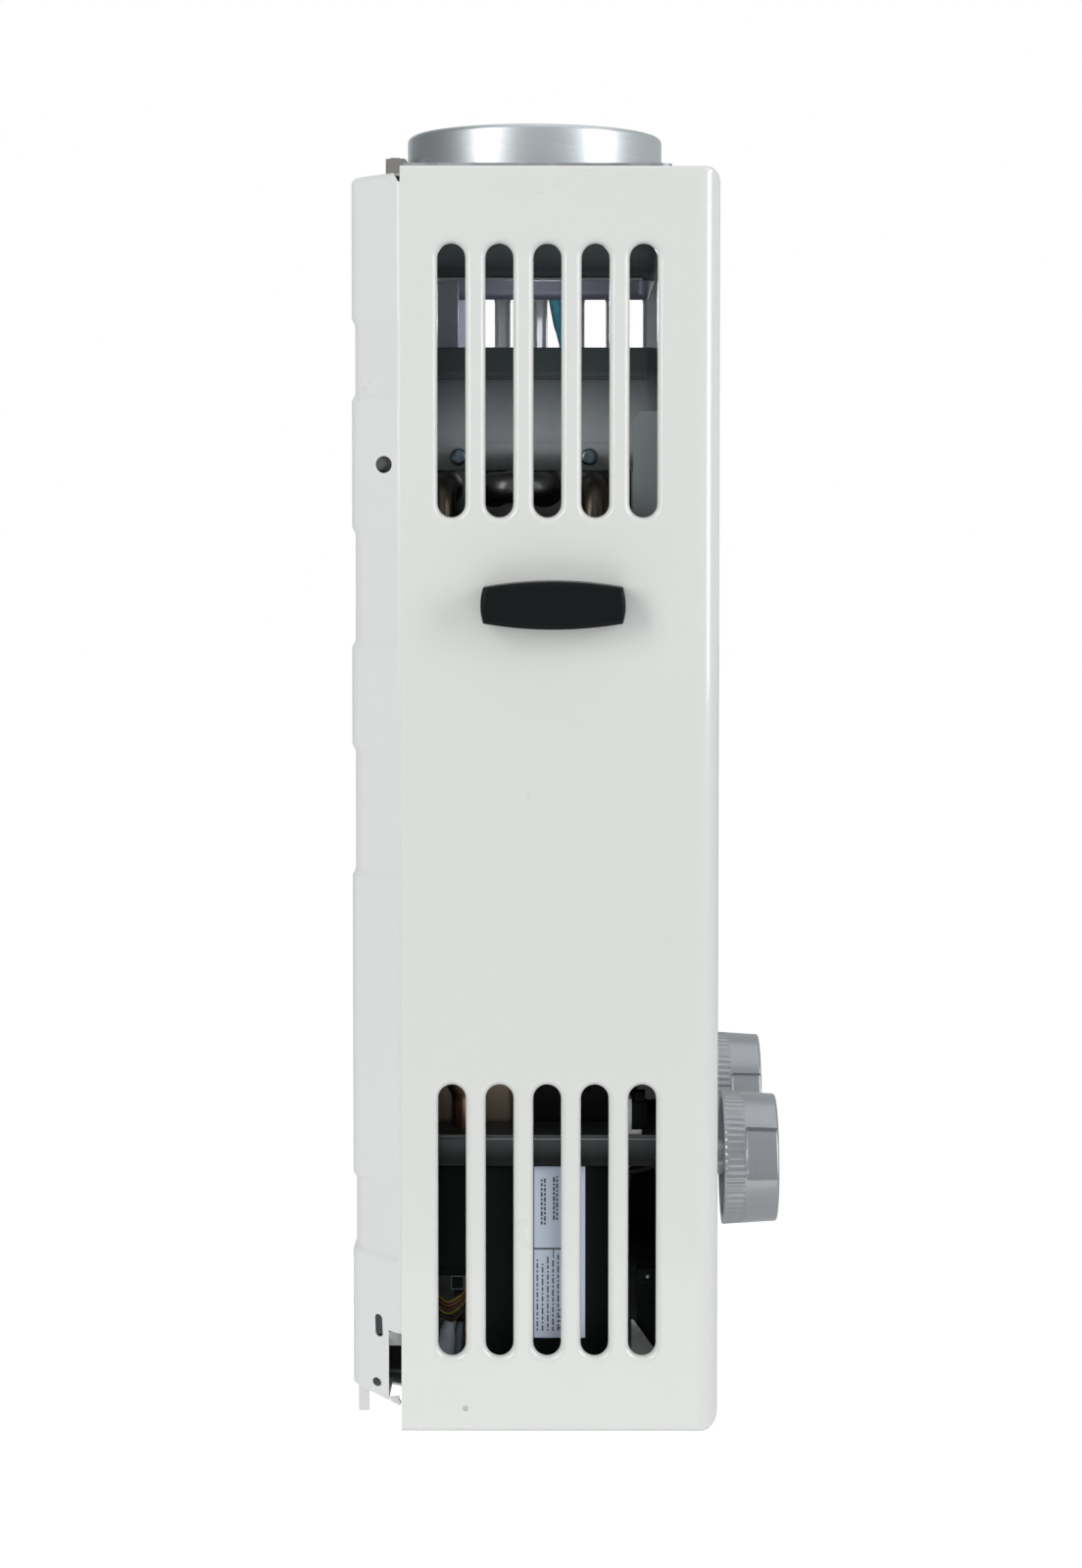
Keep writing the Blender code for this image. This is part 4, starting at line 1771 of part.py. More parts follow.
def make_display():
    """The blank display window between the knobs: a bezel through the cover and its lens."""
    half, tall = DISPLAY_HALF_WIDTH, DISPLAY_HALF_HEIGHT
    face = COVER_DEPTH + GAP
    front = face + DISPLAY_PROUD
    bezel = block("display_bezel",
                  (-half - DISPLAY_FLANGE, face, KNOB_UP - tall - DISPLAY_FLANGE),
                  (half + DISPLAY_FLANGE, front, KNOB_UP + tall + DISPLAY_FLANGE), BLACK,
                  DISPLAY_EDGE)
    fuse(bezel, block("display_body", (-half, COVER_DEPTH - DISPLAY_BODY, KNOB_UP - tall),
                      (half, front - DISPLAY_EDGE, KNOB_UP + tall)))
    inner, inner_tall = half - DISPLAY_WALL, tall - DISPLAY_WALL
    floor = front - DISPLAY_POCKET
    cut(bezel, block("display_pocket", (-inner, floor, KNOB_UP - inner_tall),
                     (inner, front + OVERRUN, KNOB_UP + inner_tall)))
    block("display_lens", (-inner + GAP, floor + GAP, KNOB_UP - inner_tall + GAP),
          (inner - GAP, front - GAP, KNOB_UP + inner_tall - GAP), LENS)


def make_cover_screws():
    """The two screws that hold the cover's bottom flange to the base plate's foot."""
    height = SCREW_HEAD_HEIGHT
    shank = SHEET + GAP + PLATE + OVERRUN
    profile = [(0, height), (SCREW_HEAD_RADIUS * 3 / 4, height * 4 / 5),
               (SCREW_HEAD_RADIUS, height / 3), (SCREW_HEAD_RADIUS, 0), (SCREW_RADIUS, 0),
               (SCREW_RADIUS, -shank), (0, -shank)]
    for name, side in (("cover_screw_left", -1), ("cover_screw_right", 1)):
        turned(name, profile, (side * COVER_SCREW_X, foot_middle(), -GAP), (0, 0, -1), STEEL,
               SMALL_ROUND_SIDES)


def make_plugs():
    """The two white lead plugs that stand on the shelf by its side edges."""
    low = SHELF_TOP + GAP
    for name, side, forward in (("lead_plug_left", -1, PLUG_FORWARD),
                                ("lead_plug_right", 1, SPILL_PLUG_FORWARD)):
        outer = side * (SHELF_HALF_WIDTH - PLUG_EDGE_INSET)
        block(name, (outer, forward - PLUG_DEPTH / 2, low),
              (outer - side * PLUG_WIDTH, forward + PLUG_DEPTH / 2, low + PLUG_HEIGHT),
              WHITE_PLASTIC)


def make_leads():
    """The leads that run inside the casing from one piece to another."""
    plug_top = SHELF_TOP + 2 * GAP + PLUG_HEIGHT
    plug_x = SHELF_HALF_WIDTH - PLUG_EDGE_INSET - PLUG_WIDTH / 2
    sensor_x = HOOD_HALF_WIDTH + SPILL_SENSOR_HEIGHT + 2 * GAP
    sensor_up = HOOD_LOW + HOOD_SKIRT / 2
    places = [
        (sensor_x, SPILL_SENSOR_FORWARD, sensor_up),
        (sensor_x + LEAD_EXIT, SPILL_SENSOR_FORWARD, sensor_up),
        (SKIRT_HALF_WIDTH, SPILL_SENSOR_FORWARD + BULGE, RIM_TOP + LEAD_CLEARANCE),
        (plug_x, SPILL_PLUG_FORWARD, LEDGE_UP),
        (plug_x, SPILL_PLUG_FORWARD, (LEDGE_UP + plug_top) / 2),
        (plug_x, SPILL_PLUG_FORWARD, plug_top),
    ]
    tube("thermostat_lead", smooth_route(places, LEAD_POINTS), LEAD_RADIUS, TEAL, 1)
    box_x = (BOX_LOW_X + BOX_HIGH_X) / 2
    ahead = SHELF_FRONT + LEAD_CLEARANCE
    electrode_end = CHAMBER_FRONT + ELECTRODE_OUTER + 2 * GAP
    places = [
        (box_x, BOX_FRONT + GAP, IGNITION_UP),
        (box_x, BOX_FRONT + LEAD_EXIT, IGNITION_UP),
        (box_x + LEAD_SWING / 2, ahead - BULGE, IGNITION_UP + BULGE),
        (box_x + 2 * LEAD_SWING, ahead + BULGE / 2, SHELF_UP + LEAD_CLEARANCE),
        (-3 * ELECTRODE_X, ahead + BULGE / 2, electrode_up() - 2 * LEAD_SWING),
        (-ELECTRODE_X, ahead, electrode_up()),
        (-ELECTRODE_X, electrode_end, electrode_up()),
    ]
    tube("ignition_lead", smooth_route(places, LEAD_POINTS), LEAD_RADIUS, RED_LEAD, 1)


def build():
    """Makes every piece of the heater."""
    clear_scene()
    make_back_pan()
    make_wall_hanger()
    make_front_cover()
    make_top_plate()
    make_flue_collar()
    make_hood()
    make_hood_screws()
    make_heat_exchanger()
    make_return_bends()
    make_combustion_chamber()
    make_water_pipes()
    make_burner_shelf()
    make_exchanger_support()
    make_burner()
    make_gas_manifold()
    make_electrodes()
    make_thermostats()
    make_base_plate()
    make_unions()
    make_gas_valve()
    make_solenoid()
    make_water_valve()
    make_diaphragm_cover()
    make_push_rod()
    make_microswitch()
    make_switch_lever()
    make_drain_plug()
    make_spindles()
    make_knobs()
    make_control_box()
    make_battery_box()
    make_battery_lid()
    make_battery_cells()
    make_side_handle("side_handle_left", -1)
    make_side_handle("side_handle_right", 1)
    make_display()
    make_cover_screws()
    make_plugs()
    make_leads()


build()
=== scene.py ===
import math
from math import pi as PI
from math import tau as TAU

import bmesh
import bpy
from mathutils import Matrix, Quaternion, Vector


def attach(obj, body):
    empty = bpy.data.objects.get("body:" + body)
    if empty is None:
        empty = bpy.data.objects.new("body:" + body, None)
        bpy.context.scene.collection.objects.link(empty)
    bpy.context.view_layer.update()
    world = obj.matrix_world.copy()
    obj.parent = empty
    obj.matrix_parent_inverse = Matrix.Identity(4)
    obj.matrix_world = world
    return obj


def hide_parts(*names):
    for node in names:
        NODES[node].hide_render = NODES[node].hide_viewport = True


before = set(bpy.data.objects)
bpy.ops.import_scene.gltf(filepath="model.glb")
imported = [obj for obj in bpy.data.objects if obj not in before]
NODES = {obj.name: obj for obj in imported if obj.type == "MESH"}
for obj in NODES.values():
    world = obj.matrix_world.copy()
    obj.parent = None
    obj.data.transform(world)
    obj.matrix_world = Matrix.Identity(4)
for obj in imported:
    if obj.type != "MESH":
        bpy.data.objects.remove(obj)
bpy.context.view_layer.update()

UP = (0, 0, 1)
SIDES = (-1, 1)
SIDE_NAMES = ((-1, "left"), (1, "right"))

# Main sizes in millimetres, with MM as one of them in metres

MM = 0.001
COVER_HALF = 165
COVER_DEPTH = 138
CASE_HEIGHT = 550
PAN_DEPTH = 23.1
ORIGIN_UP = 516
SHEET = 1
FLUE_FORWARD = 54
FLUE_RADIUS = 62.5
FLUE_HOLE = 62
KNOB_X, KNOB_UP = 62, 92.5
COVER_SCREW_X, COVER_SCREW_FORWARD = 60, 131
PULL_FORWARD, PULL_UP = 66, 361.6
CLIP_FORWARDS = (46, 86)
TUBE_FORWARDS = [15.8 + 22.7 * i for i in range(4)]
TUBE_UP = 411.5


def at(x, forward, up):
    """A point in millimetres: across, forward of the cover's rear edge, up from the casing's bottom."""
    return Vector((x, -(PAN_DEPTH + forward), up - ORIGIN_UP)) * MM


def settle(thing, **settings):
    """Sets several of a thing's values."""
    for key, value in settings.items():
        setattr(thing, key, value)
    return thing


# Material helpers


def feed(tree, node, sockets):
    """Sets a node's sockets, by name or number, to values or to other nodes' outputs."""
    for key, value in sockets.items():
        if isinstance(value, bpy.types.Node):
            value = value.outputs[0]
        if isinstance(value, bpy.types.NodeSocket):
            tree.links.new(value, node.inputs[key])
        else:
            node.inputs[key].default_value = value
    return node


def make_node(tree, kind, **sockets):
    """A new shader node. An underscore in a socket's name stands for a space."""
    named = {key.replace("_", " "): value for key, value in sockets.items()}
    return feed(tree, tree.nodes.new("ShaderNode" + kind), named)


def make_noise(tree, coords, scale, detail=5, rough=0.55):
    return make_node(tree, "TexNoise", Vector=coords, Scale=scale, Detail=detail, Roughness=rough)


def remap(tree, value, low, high, from_low=0.25, from_high=0.75):
    return make_node(tree, "MapRange", Value=value, From_Min=from_low, From_Max=from_high,
                     To_Min=low, To_Max=high)


def mix_colour(tree, factor, first, second, blend="MIX"):
    """Mixes two colours, each a node or plain red, green and blue."""
    first, second = ((*value, 1) if isinstance(value, tuple) else value for value in (first, second))
    node = settle(tree.nodes.new("ShaderNodeMix"), data_type="RGBA", blend_type=blend)
    return feed(tree, node, {0: factor, 6: first, 7: second}).outputs[2]


def calculate(tree, operation, first, second):
    return feed(tree, settle(tree.nodes.new("ShaderNodeMath"), operation=operation), {0: first, 1: second})


def mix_shaders(tree, factor, first, second):
    return feed(tree, tree.nodes.new("ShaderNodeMixShader"), {0: factor, 1: first, 2: second})


def darken(tree, colour, amount):
    """Multiplies a colour by a grey amount."""
    grey = make_node(tree, "CombineColor", Red=amount, Green=amount, Blue=amount)
    return mix_colour(tree, 1, colour, grey.outputs["Color"], "MULTIPLY")


def zinc_flakes(tree, coords, spread):
    """A grey amount that differs from flake to flake."""
    cells = make_node(tree, "TexVoronoi", Vector=coords, Scale=110)
    split = make_node(tree, "SeparateColor", Color=cells.outputs["Color"])
    return remap(tree, split.outputs["Red"], 1 - spread, 1 + spread, 0, 1)


def shade(base, factor):
    return tuple(c * factor for c in base)


def material(name, base, rough, metal=0, coat=0, vary=0.06, patch=14, rough_vary=0.05, bump=0.05,
             grain=500, stretch=(1, 1, 1), spangle=0, stain=None, stain_scale=9, specular=0.5, streak=0,
             fade=None):
    """A Principled material with patchy colour, uneven roughness and fine bump.

    A fade is an axis, two places on it in metres, and the colour that the material changes to between them.
    """
    made = bpy.data.materials.new(name)
    made.use_nodes = True
    tree = made.node_tree
    coords = make_node(tree, "TexCoord").outputs["Object"]
    stretched = make_node(tree, "Mapping", Vector=coords, Scale=stretch)
    fine = make_noise(tree, stretched, grain, 3)
    clouds = remap(tree, make_noise(tree, coords, patch), 0, 1)
    colour = mix_colour(tree, clouds, shade(base, 1 - vary), shade(base, 1 + vary))
    if spangle:
        colour = darken(tree, colour, zinc_flakes(tree, coords, spangle))
    if stain:
        blotch = remap(tree, make_noise(tree, coords, stain_scale, 7, 0.65), 0, 1, 0.48, 0.72)
        colour = mix_colour(tree, blotch, colour, stain)
    if streak:
        colour = darken(tree, colour, remap(tree, fine, 1 - streak, 1 + streak))
    if fade:
        axis, start, finish, second = fade
        place = make_node(tree, "SeparateXYZ", Vector=coords).outputs[axis]
        colour = mix_colour(tree, remap(tree, place, 0, 1, start, finish), colour, second)
    uneven = make_noise(tree, stretched, patch * 3, 4)
    uneven = remap(tree, uneven, rough - rough_vary, rough + rough_vary)
    bsdf = feed(tree, tree.nodes["Principled BSDF"], {
        "Base Color": colour, "Metallic": metal, "Roughness": uneven, "Specular IOR Level": specular})
    if coat:
        feed(tree, bsdf, {"Coat Weight": coat, "Coat Roughness": 0.06})
    if bump:
        feed(tree, bsdf, {"Normal": make_node(tree, "Bump", Strength=bump, Distance=0.0004, Height=fine)})
    return made


def sheet_material(name, base, metal, **options):
    """Drawn sheet steel, with fine upright lines where it has a streak."""
    return material(name, base, 0.42, metal, grain=300, stretch=(6, 6, 1), **options)


def lead_material(name, base):
    return material(name, base, 0.38, patch=50, grain=1200)


# Enamel and sheet metal

WHITE = material("white_enamel", (0.745, 0.76, 0.74), 0.3, coat=0.8, vary=0.008, patch=6, rough_vary=0.03,
                 grain=260)
PAN_WHITE = material("pan_enamel", (0.79, 0.8, 0.81), 0.3, coat=0.2, vary=0.01, patch=7, rough_vary=0.04,
                     bump=0.06, grain=260)
# A grey white for the side dimples, painted shade that stands in for a small pit.
DIMPLE_SHADE_WHITE = material("dimple_painted_shade", (0.5, 0.51, 0.51), 0.4, vary=0.05, grain=600)
GALVANISED = material("galvanised", (0.42, 0.44, 0.46), 0.42, 1, spangle=0.16, stain=(0.3, 0.31, 0.32),
                      stain_scale=5)
HANGER_ZINC = material("hanger_zinc", (0.3, 0.285, 0.27), 0.42, 1, vary=0.08, spangle=0.1, bump=0.06,
                       grain=600)
COLLAR_STEEL = material("collar_steel", (0.58, 0.615, 0.635), 0.4, 1, vary=0.03, bump=0.04, grain=60,
                        stretch=(1, 1, 40), patch=9, streak=0.06)
# The hood's steel has blotchy stains, and turns near black towards the rim at its top as painted shade.
HOOD_STEEL = sheet_material("hood_steel", (0.5, 0.53, 0.55), 0.65, rough_vary=0.06, streak=0.04,
                            stain=(0.4, 0.42, 0.44), fade=(2, -0.08, -0.052, (0.07, 0.085, 0.09)))
# The bell's steel is painted near black as shade, and lighter towards its top as painted light.
SHADED_BELL_STEEL = sheet_material("bell_steel_painted_shade", (0.09, 0.1, 0.11), 0.7, rough_vary=0.06, streak=0.06,
                            fade=(2, -0.004, 0.009, (0.4, 0.46, 0.47)))
POST_STEEL = sheet_material("post_steel", (0.42, 0.43, 0.475), 0.4, vary=0.05, streak=0.1)
BELL_INNER = material("bell_inner", (0.085, 0.088, 0.105), 0.5, 0.2, vary=0.05, grain=300)
BAFFLE_STEEL = material("baffle_steel", (0.42, 0.46, 0.48), 0.42, 0.6, grain=300)
# A pale steel on the bell's edge and beads, a painted highlight of the rolled edge.
EDGE_HIGHLIGHT = material("edge_painted_highlight", (0.78, 0.79, 0.8), 0.35, 0.6, vary=0.05, grain=300)
# The shelf lip's steel is painted dark as shade, and near black towards its bottom as painted shade.
SHADED_FLANGE_STEEL = material("flange_steel_painted_shade", (0.075, 0.083, 0.087), 0.42, 0.5, vary=0.1,
                        fade=(2, -0.391, -0.4, (0.004, 0.005, 0.005)))
# A lighter steel on the shelf's hem, a painted highlight of the lip's bend.
HEM_HIGHLIGHT_STEEL = material("hem_painted_highlight", (0.3, 0.32, 0.325), 0.4, 0.5, vary=0.2)
# The burner shelf's galvanised steel, painted dark as the shade inside the casing.
SHADED_SHELF_STEEL = material("shelf_steel_painted_shade", (0.085, 0.09, 0.093), 0.42, 0.8, spangle=0.1)
# The base plate's galvanised steel, painted near black as the shade inside the casing.
SHADED_FLOOR_STEEL = material("floor_steel_painted_shade", (0.055, 0.065, 0.07), 0.45, 0.8, vary=0.08, spangle=0.1,
                       specular=0.25)

# Solid metal and copper

SCREW_STEEL = material("screw_steel", (0.15, 0.19, 0.22), 0.3, 1, vary=0.08, patch=200, bump=0.06,
                       grain=900)
STEEL = material("zinc_steel", (0.58, 0.59, 0.6), 0.26, 1, vary=0.05, bump=0.04, grain=800)
BURNER_STEEL = material("burner_steel", (0.4, 0.4, 0.41), 0.4, 1, vary=0.08, bump=0.06,
                        stain=(0.22, 0.19, 0.2), stain_scale=18)
SATIN = material("satin_silver", (0.37, 0.385, 0.405), 0.31, 0.9, vary=0.03, patch=40, bump=0.02, grain=60,
                 rough_vary=0.03, stretch=(1, 40, 1), streak=0.04)
CAST = material("cast_aluminium", (0.44, 0.45, 0.46), 0.5, 1, bump=0.22, grain=900)
BRASS = material("brass", (0.66, 0.5, 0.24), 0.34, 1, vary=0.07, bump=0.08, grain=700,
                 stain=(0.42, 0.3, 0.14), stain_scale=26)
# The chamber's copper has blotchy stains, and turns near black further forward as painted shade.
COPPER = material("copper", (0.48, 0.38, 0.3), 0.42, 0.7, vary=0.14, grain=400, stain=(0.24, 0.19, 0.15),
                  stain_scale=14, fade=(1, -0.0675, -0.0705, (0.01, 0.01, 0.01)))
PIPE_COPPER = material("pipe_copper", (0.52, 0.32, 0.23), 0.36, 1, vary=0.1, bump=0.04,
                       stain=(0.22, 0.14, 0.1), stain_scale=22,
                       fade=(2, -0.19, -0.125, (0.085, 0.072, 0.06)))
TINNED = material("tinned_copper", (0.13, 0.132, 0.134), 0.36, 1, vary=0.14, patch=40, bump=0.12, grain=240,
                  stain=(0.075, 0.068, 0.06), stain_scale=40)

# Plastic, glass, ceramic and paper

BLACK = material("gloss_black", (0.006, 0.0075, 0.008), 0.34, vary=0.2, coat=0.03, grain=900, specular=0.1)
MATT_BLACK = material("matt_black", (0.0045, 0.006, 0.006), 0.6, vary=0.2, bump=0.18, grain=1600,
                      specular=0.08)
CHARCOAL = material("charcoal_plastic", (0.045, 0.055, 0.057), 0.5, vary=0.2, bump=0.12, grain=1600)
# A grey plastic darkened as painted shade, for the connector's frame inside the casing.
SHADED_FRAME_PLASTIC = material("frame_plastic_painted_shade", (0.07, 0.08, 0.085), 0.4, vary=0.1, patch=60, bump=0.08, grain=900)
GREY_PLASTIC = material("grey_plastic", (0.3, 0.33, 0.38), 0.35, vary=0.1, patch=60, bump=0.08, grain=900)
PALE = material("pale_plastic", (0.7, 0.71, 0.72), 0.4, vary=0.03, bump=0.08, grain=900)
CERAMIC = material("ceramic", (0.8, 0.77, 0.7), 0.25, vary=0.04, coat=0.3, bump=0.03)
LENS = material("dark_lens", (0.01, 0.013, 0.016), 0.08, vary=0.1, coat=0.6, bump=0)
WRAP = material("cell_wrap", (0.03, 0.05, 0.09), 0.3, coat=0.2, bump=0)
TEAL = material("teal_sleeve", (0.045, 0.22, 0.28), 0.45, vary=0.12, patch=60, bump=0.3, grain=1500)
LABEL = material("label_paper", (0.62, 0.69, 0.83), 0.38, vary=0.015, bump=0.03, grain=1200, coat=0.15)
PRINT = material("label_print", (0.1, 0.1, 0.13), 0.5, vary=0.2, patch=300, bump=0)
# The harness leads' yellow, orange and brown are darkened as painted shade.
SHADED_YELLOW = lead_material("lead_yellow_painted_shade", (0.22, 0.15, 0.02))
SHADED_ORANGE = lead_material("lead_orange_painted_shade", (0.18, 0.06, 0.012))
SHADED_BROWN = lead_material("lead_brown_painted_shade", (0.06, 0.03, 0.015))
BLUE_LEAD = lead_material("lead_blue", (0.1, 0.13, 0.19))
DARK_LEAD = lead_material("lead_black", (0.014, 0.014, 0.016))

# Carried-over pieces: material, rounding of the edges and nodes

DRESSED = (
    (GALVANISED, 0.35, "top_plate"),
    (HANGER_ZINC, 0.35, "wall_hanger"),
    (POST_STEEL, 0.3, "hood_back_plate"),
    (BAFFLE_STEEL, 0.3, "front_baffle"),
    (COPPER, 0.3, "combustion_chamber"),
    (SHADED_SHELF_STEEL, 0.3, "burner_shelf exchanger_support"),
    (SHADED_FLOOR_STEEL, 0.3, "base_plate"),
    (BURNER_STEEL, 0.25, "burner_rack"),
    (CAST, 0.4, "gas_manifold gas_feed_pipe diaphragm_cover"),
    (CAST, 0.7, "gas_valve_body"),
    (BRASS, 0.7, "water_valve_body"),
    (BRASS, 0.4, "drain_plug"),
    (STEEL, 0.2, "solenoid_valve gas_spindle water_spindle push_rod switch_lever"),
    (CERAMIC, 0.25, "spark_electrode flame_sensor"),
    (MATT_BLACK, 0.3, "overheat_thermostat flue_thermostat microswitch battery_lid"),
    (CHARCOAL, 0.3, "battery_box"),
    (BLACK, 0.3, "display_bezel"),
    (LENS, 0.3, "display_lens"),
    (WRAP, 0.4, "battery_cell_left battery_cell_right"),
)

# Outlines and curves, as lists of points


def arc(centre, radius, start, finish, steps):
    """Points on an arc about a centre, between two angles."""
    angles = [start + (finish - start) * i / steps for i in range(steps + 1)]
    return [(centre[0] + radius * math.cos(a), centre[1] + radius * math.sin(a)) for a in angles]


def stadium(forward, low, high, radius):
    """An upright slot's outline as (forward, up), round two centres."""
    return arc((forward, high), radius, 0, PI, 12) + arc((forward, low), radius, PI, TAU, 12)


def bezier(start, middle, finish, steps):
    """Points on a quadratic curve from start to finish, drawn towards middle."""
    shares = [i / steps for i in range(steps + 1)]
    return [(1 - t) ** 2 * start + 2 * t * (1 - t) * middle + t * t * finish for t in shares]


def upright(outline, x):
    """A (forward, up) outline at a place across."""
    return [at(x, forward, up) for forward, up in outline]


def level(outline, up):
    """An (across, forward) outline at a height."""
    return [at(x, forward, up) for x, forward in outline]


def mirrored(*spans):
    """The given boxes on the right, and their mirror images on the left."""
    return [((side * a[0], *a[1:]), (side * b[0], *b[1:])) for side in SIDES for a, b in spans]


def spline_points(places, count):
    """Evenly spread points on a smooth curve through places."""
    ends = [2 * places[0] - places[1], *places, 2 * places[-1] - places[-2]]
    points = []
    spans = len(places) - 1
    for step in range(count):
        position = step / (count - 1) * spans
        span = min(int(position), spans - 1)
        t = position - span
        a, b, c, d = ends[span:span + 4]
        points.append(b + (c - a) * t / 2 + (2 * a - 5 * b + 4 * c - d) * t ** 2 / 2
                      + (3 * b - a - 3 * c + d) * t ** 3 / 2)
    return points


def bent_points(corners, bend, steps=9):
    """Straight runs joined by round bends."""
    points = [corners[0]]
    for before, corner, after in zip(corners, corners[1:], corners[2:]):
        back = (before - corner).normalized()
        on = (after - corner).normalized()
        half = back.angle(on) / 2
        centre = corner + (back + on).normalized() * bend * MM / math.sin(half)
        arm = corner + back * bend * MM / math.tan(half) - centre
        axis = on.cross(back)
        sweep = PI - 2 * half
        points += [centre + Quaternion(axis, sweep * step / steps) @ arm for step in range(steps + 1)]
    return points + [corners[-1]]


# Shapes built into a mesh


def rings_into(bm, rings, caps=True, closed=True):
    """Joins rings of points with quads, and returns the grid of vertices."""
    grid = [[bm.verts.new(point) for point in ring] for ring in rings]
    count = len(rings[0])
    for lower, upper in zip(grid, grid[1:]):
        for i in range(count if closed else count - 1):
            j = (i + 1) % count
            bm.faces.new((lower[i], lower[j], upper[j], upper[i]))
    if caps:
        bm.faces.new(grid[0][::-1])
        bm.faces.new(grid[-1])
    return grid


def plate_into(bm, outline, near, far):
    """A flat plate with a (forward, up) outline, between two places across."""
    rings_into(bm, [upright(outline, x) for x in (near, far)])


def lathe_into(bm, profile, start, direction, sides=64, loop=False):
    """Turns (radius, distance) points in millimetres about a line. A radius of 0 closes an end."""
    turn = Vector(direction).to_track_quat("Z", "Y")
    rings = []
    for radius, distance in profile:
        circle = arc((0, 0), radius, 0, TAU, sides)[:-1] if radius else [(0, 0)]
        rings.append([bm.verts.new(start + turn @ Vector((x, y, distance)) * MM) for x, y in circle])
    for lower, upper in list(zip(rings, rings[1:])) + [(rings[-1], rings[0])] * loop:
        for i in range(sides):
            corners = dict.fromkeys((lower[i % len(lower)], lower[(i + 1) % len(lower)],
                                     upper[(i + 1) % len(upper)], upper[i % len(upper)]))
            if len(corners) > 2:
                bm.faces.new(corners)


def drill_into(bm, radius, depth, start, direction, sides=32):
    """A plain cylinder, closed at both ends."""
    lathe_into(bm, [(0, 0), (radius, 0), (radius, depth), (0, depth)], start, direction, sides)


def box_into(bm, low, high, edge=0.4, segments=2):
    """A box between two (across, forward, up) corners, with its edges rounded."""
    first, second = at(*low), at(*high)
    size = Vector(abs(a - b) for a, b in zip(first, second))
    matrix = Matrix.Translation((first + second) / 2) @ Matrix.Diagonal((*size, 1))
    made = bmesh.ops.create_cube(bm, size=1, matrix=matrix)
    if edge:
        edges = {e for vert in made["verts"] for e in vert.link_edges}
        bmesh.ops.bevel(bm, geom=list(edges), offset=edge * MM, segments=segments, affect="EDGES",
                        profile=0.5)


def shape(build, *args):
    """A mesh that one of the builders above has filled."""
    bm = bmesh.new()
    build(bm, *args)
    return bm


# Pieces of the scene


def new_object(name, data):
    obj = bpy.data.objects.new(name, data)
    bpy.context.scene.collection.objects.link(obj)
    return obj


def mesh_from(bm, name):
    bmesh.ops.recalc_face_normals(bm, faces=bm.faces)
    mesh = bpy.data.meshes.new(name)
    bm.to_mesh(mesh)
    bm.free()
    return mesh


def smooth(mesh, angle):
    mesh.shade_smooth()
    mesh.set_sharp_from_angle(angle=math.radians(angle))


def add(name, shape_or_curve, surface, slot, body="casing", nodes="", angle=32):
    """A visible piece with its material and body, and the nodes that it replaces. Its slot is not used."""
    is_curve = isinstance(shape_or_curve, bpy.types.Curve)
    data = shape_or_curve if is_curve else mesh_from(shape_or_curve, name)
    data.materials.append(surface)
    if not is_curve:
        smooth(data, angle)
    obj = new_object(name, data)
    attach(obj, body)
    if nodes:
        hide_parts(*nodes.split())
    return obj


def lathe(name, profile, starts, surface, slot, sides=64, loop=False, **options):
    """The same turned shape at each start, which is a place and a direction."""
    bm = bmesh.new()
    for place, direction in starts:
        lathe_into(bm, profile, place, direction, sides, loop)
    return add(name, bm, surface, slot, **options)


def plates(name, outline, near, far, surface, slot):
    """The same flat plate on both sides, between two distances from the middle."""
    bm = bmesh.new()
    for side in SIDES:
        plate_into(bm, outline, side * near, side * far)
    return add(name, bm, surface, slot)


def boxes(name, spans, surface, slot, edge=0.4, segments=2, **options):
    bm = bmesh.new()
    for low, high in spans:
        box_into(bm, low, high, edge, segments)
    return add(name, bm, surface, slot, **options)


def pipe(name, points, radius, surface, slot, resolution=5, **options):
    """A round bar along points, with closed ends."""
    curve = bpy.data.curves.new(name, "CURVE")
    settle(curve, dimensions="3D", bevel_depth=radius * MM, bevel_resolution=resolution, use_fill_caps=True)
    spline = curve.splines.new("POLY")
    spline.points.add(len(points) - 1)
    for knot, point in zip(spline.points, points):
        knot.co = (*point, 1)
    spline.use_smooth = True
    return add(name, curve, surface, slot, **options)


def wire(name, places, radius, surface, slot, count=40, **options):
    points = spline_points([at(*place) for place in places], count)
    return pipe(name, points, radius, surface, slot, 3, **options)


def tapered_tube(name, places, radii, surface, slot, sides=20, crease=0):
    """A tube through places whose radius follows radii, with optional creases along it."""
    count = 30
    line = spline_points([at(*place) for place in places], count)
    sizes = spline_points([Vector((radius, 0, 0)) for radius in radii], count)
    rings = []
    for step, (point, size) in enumerate(zip(line, sizes)):
        along = line[min(step + 1, count - 1)] - line[max(step - 1, 0)]
        turn = along.to_track_quat("Z", "Y")
        ring = []
        for i in range(sides):
            angle = TAU * i / sides
            radius = size.x * (1 + crease * math.sin(3 * angle + step * 0.9) * math.sin(step * 1.7 + angle))
            ring.append(point + turn @ Vector((radius * math.cos(angle), radius * math.sin(angle), 0)) * MM)
        rings.append(ring)
    add(name, shape(rings_into, rings), surface, slot)


def bake(obj, *cuts):
    """Applies an object's modifiers and takes the cuts' closed shapes away from it."""
    tools = [new_object("cut", mesh_from(bm, "cut")) for bm in cuts]
    for tool in tools:
        settle(obj.modifiers.new("cut", "BOOLEAN"), operation="DIFFERENCE", object=tool, solver="EXACT")
    bpy.context.view_layer.update()
    depsgraph = bpy.context.evaluated_depsgraph_get()
    mesh = bpy.data.meshes.new_from_object(obj.evaluated_get(depsgraph))
    obj.modifiers.clear()
    obj.data = mesh
    for tool in tools:
        bpy.data.objects.remove(tool, do_unlink=True)


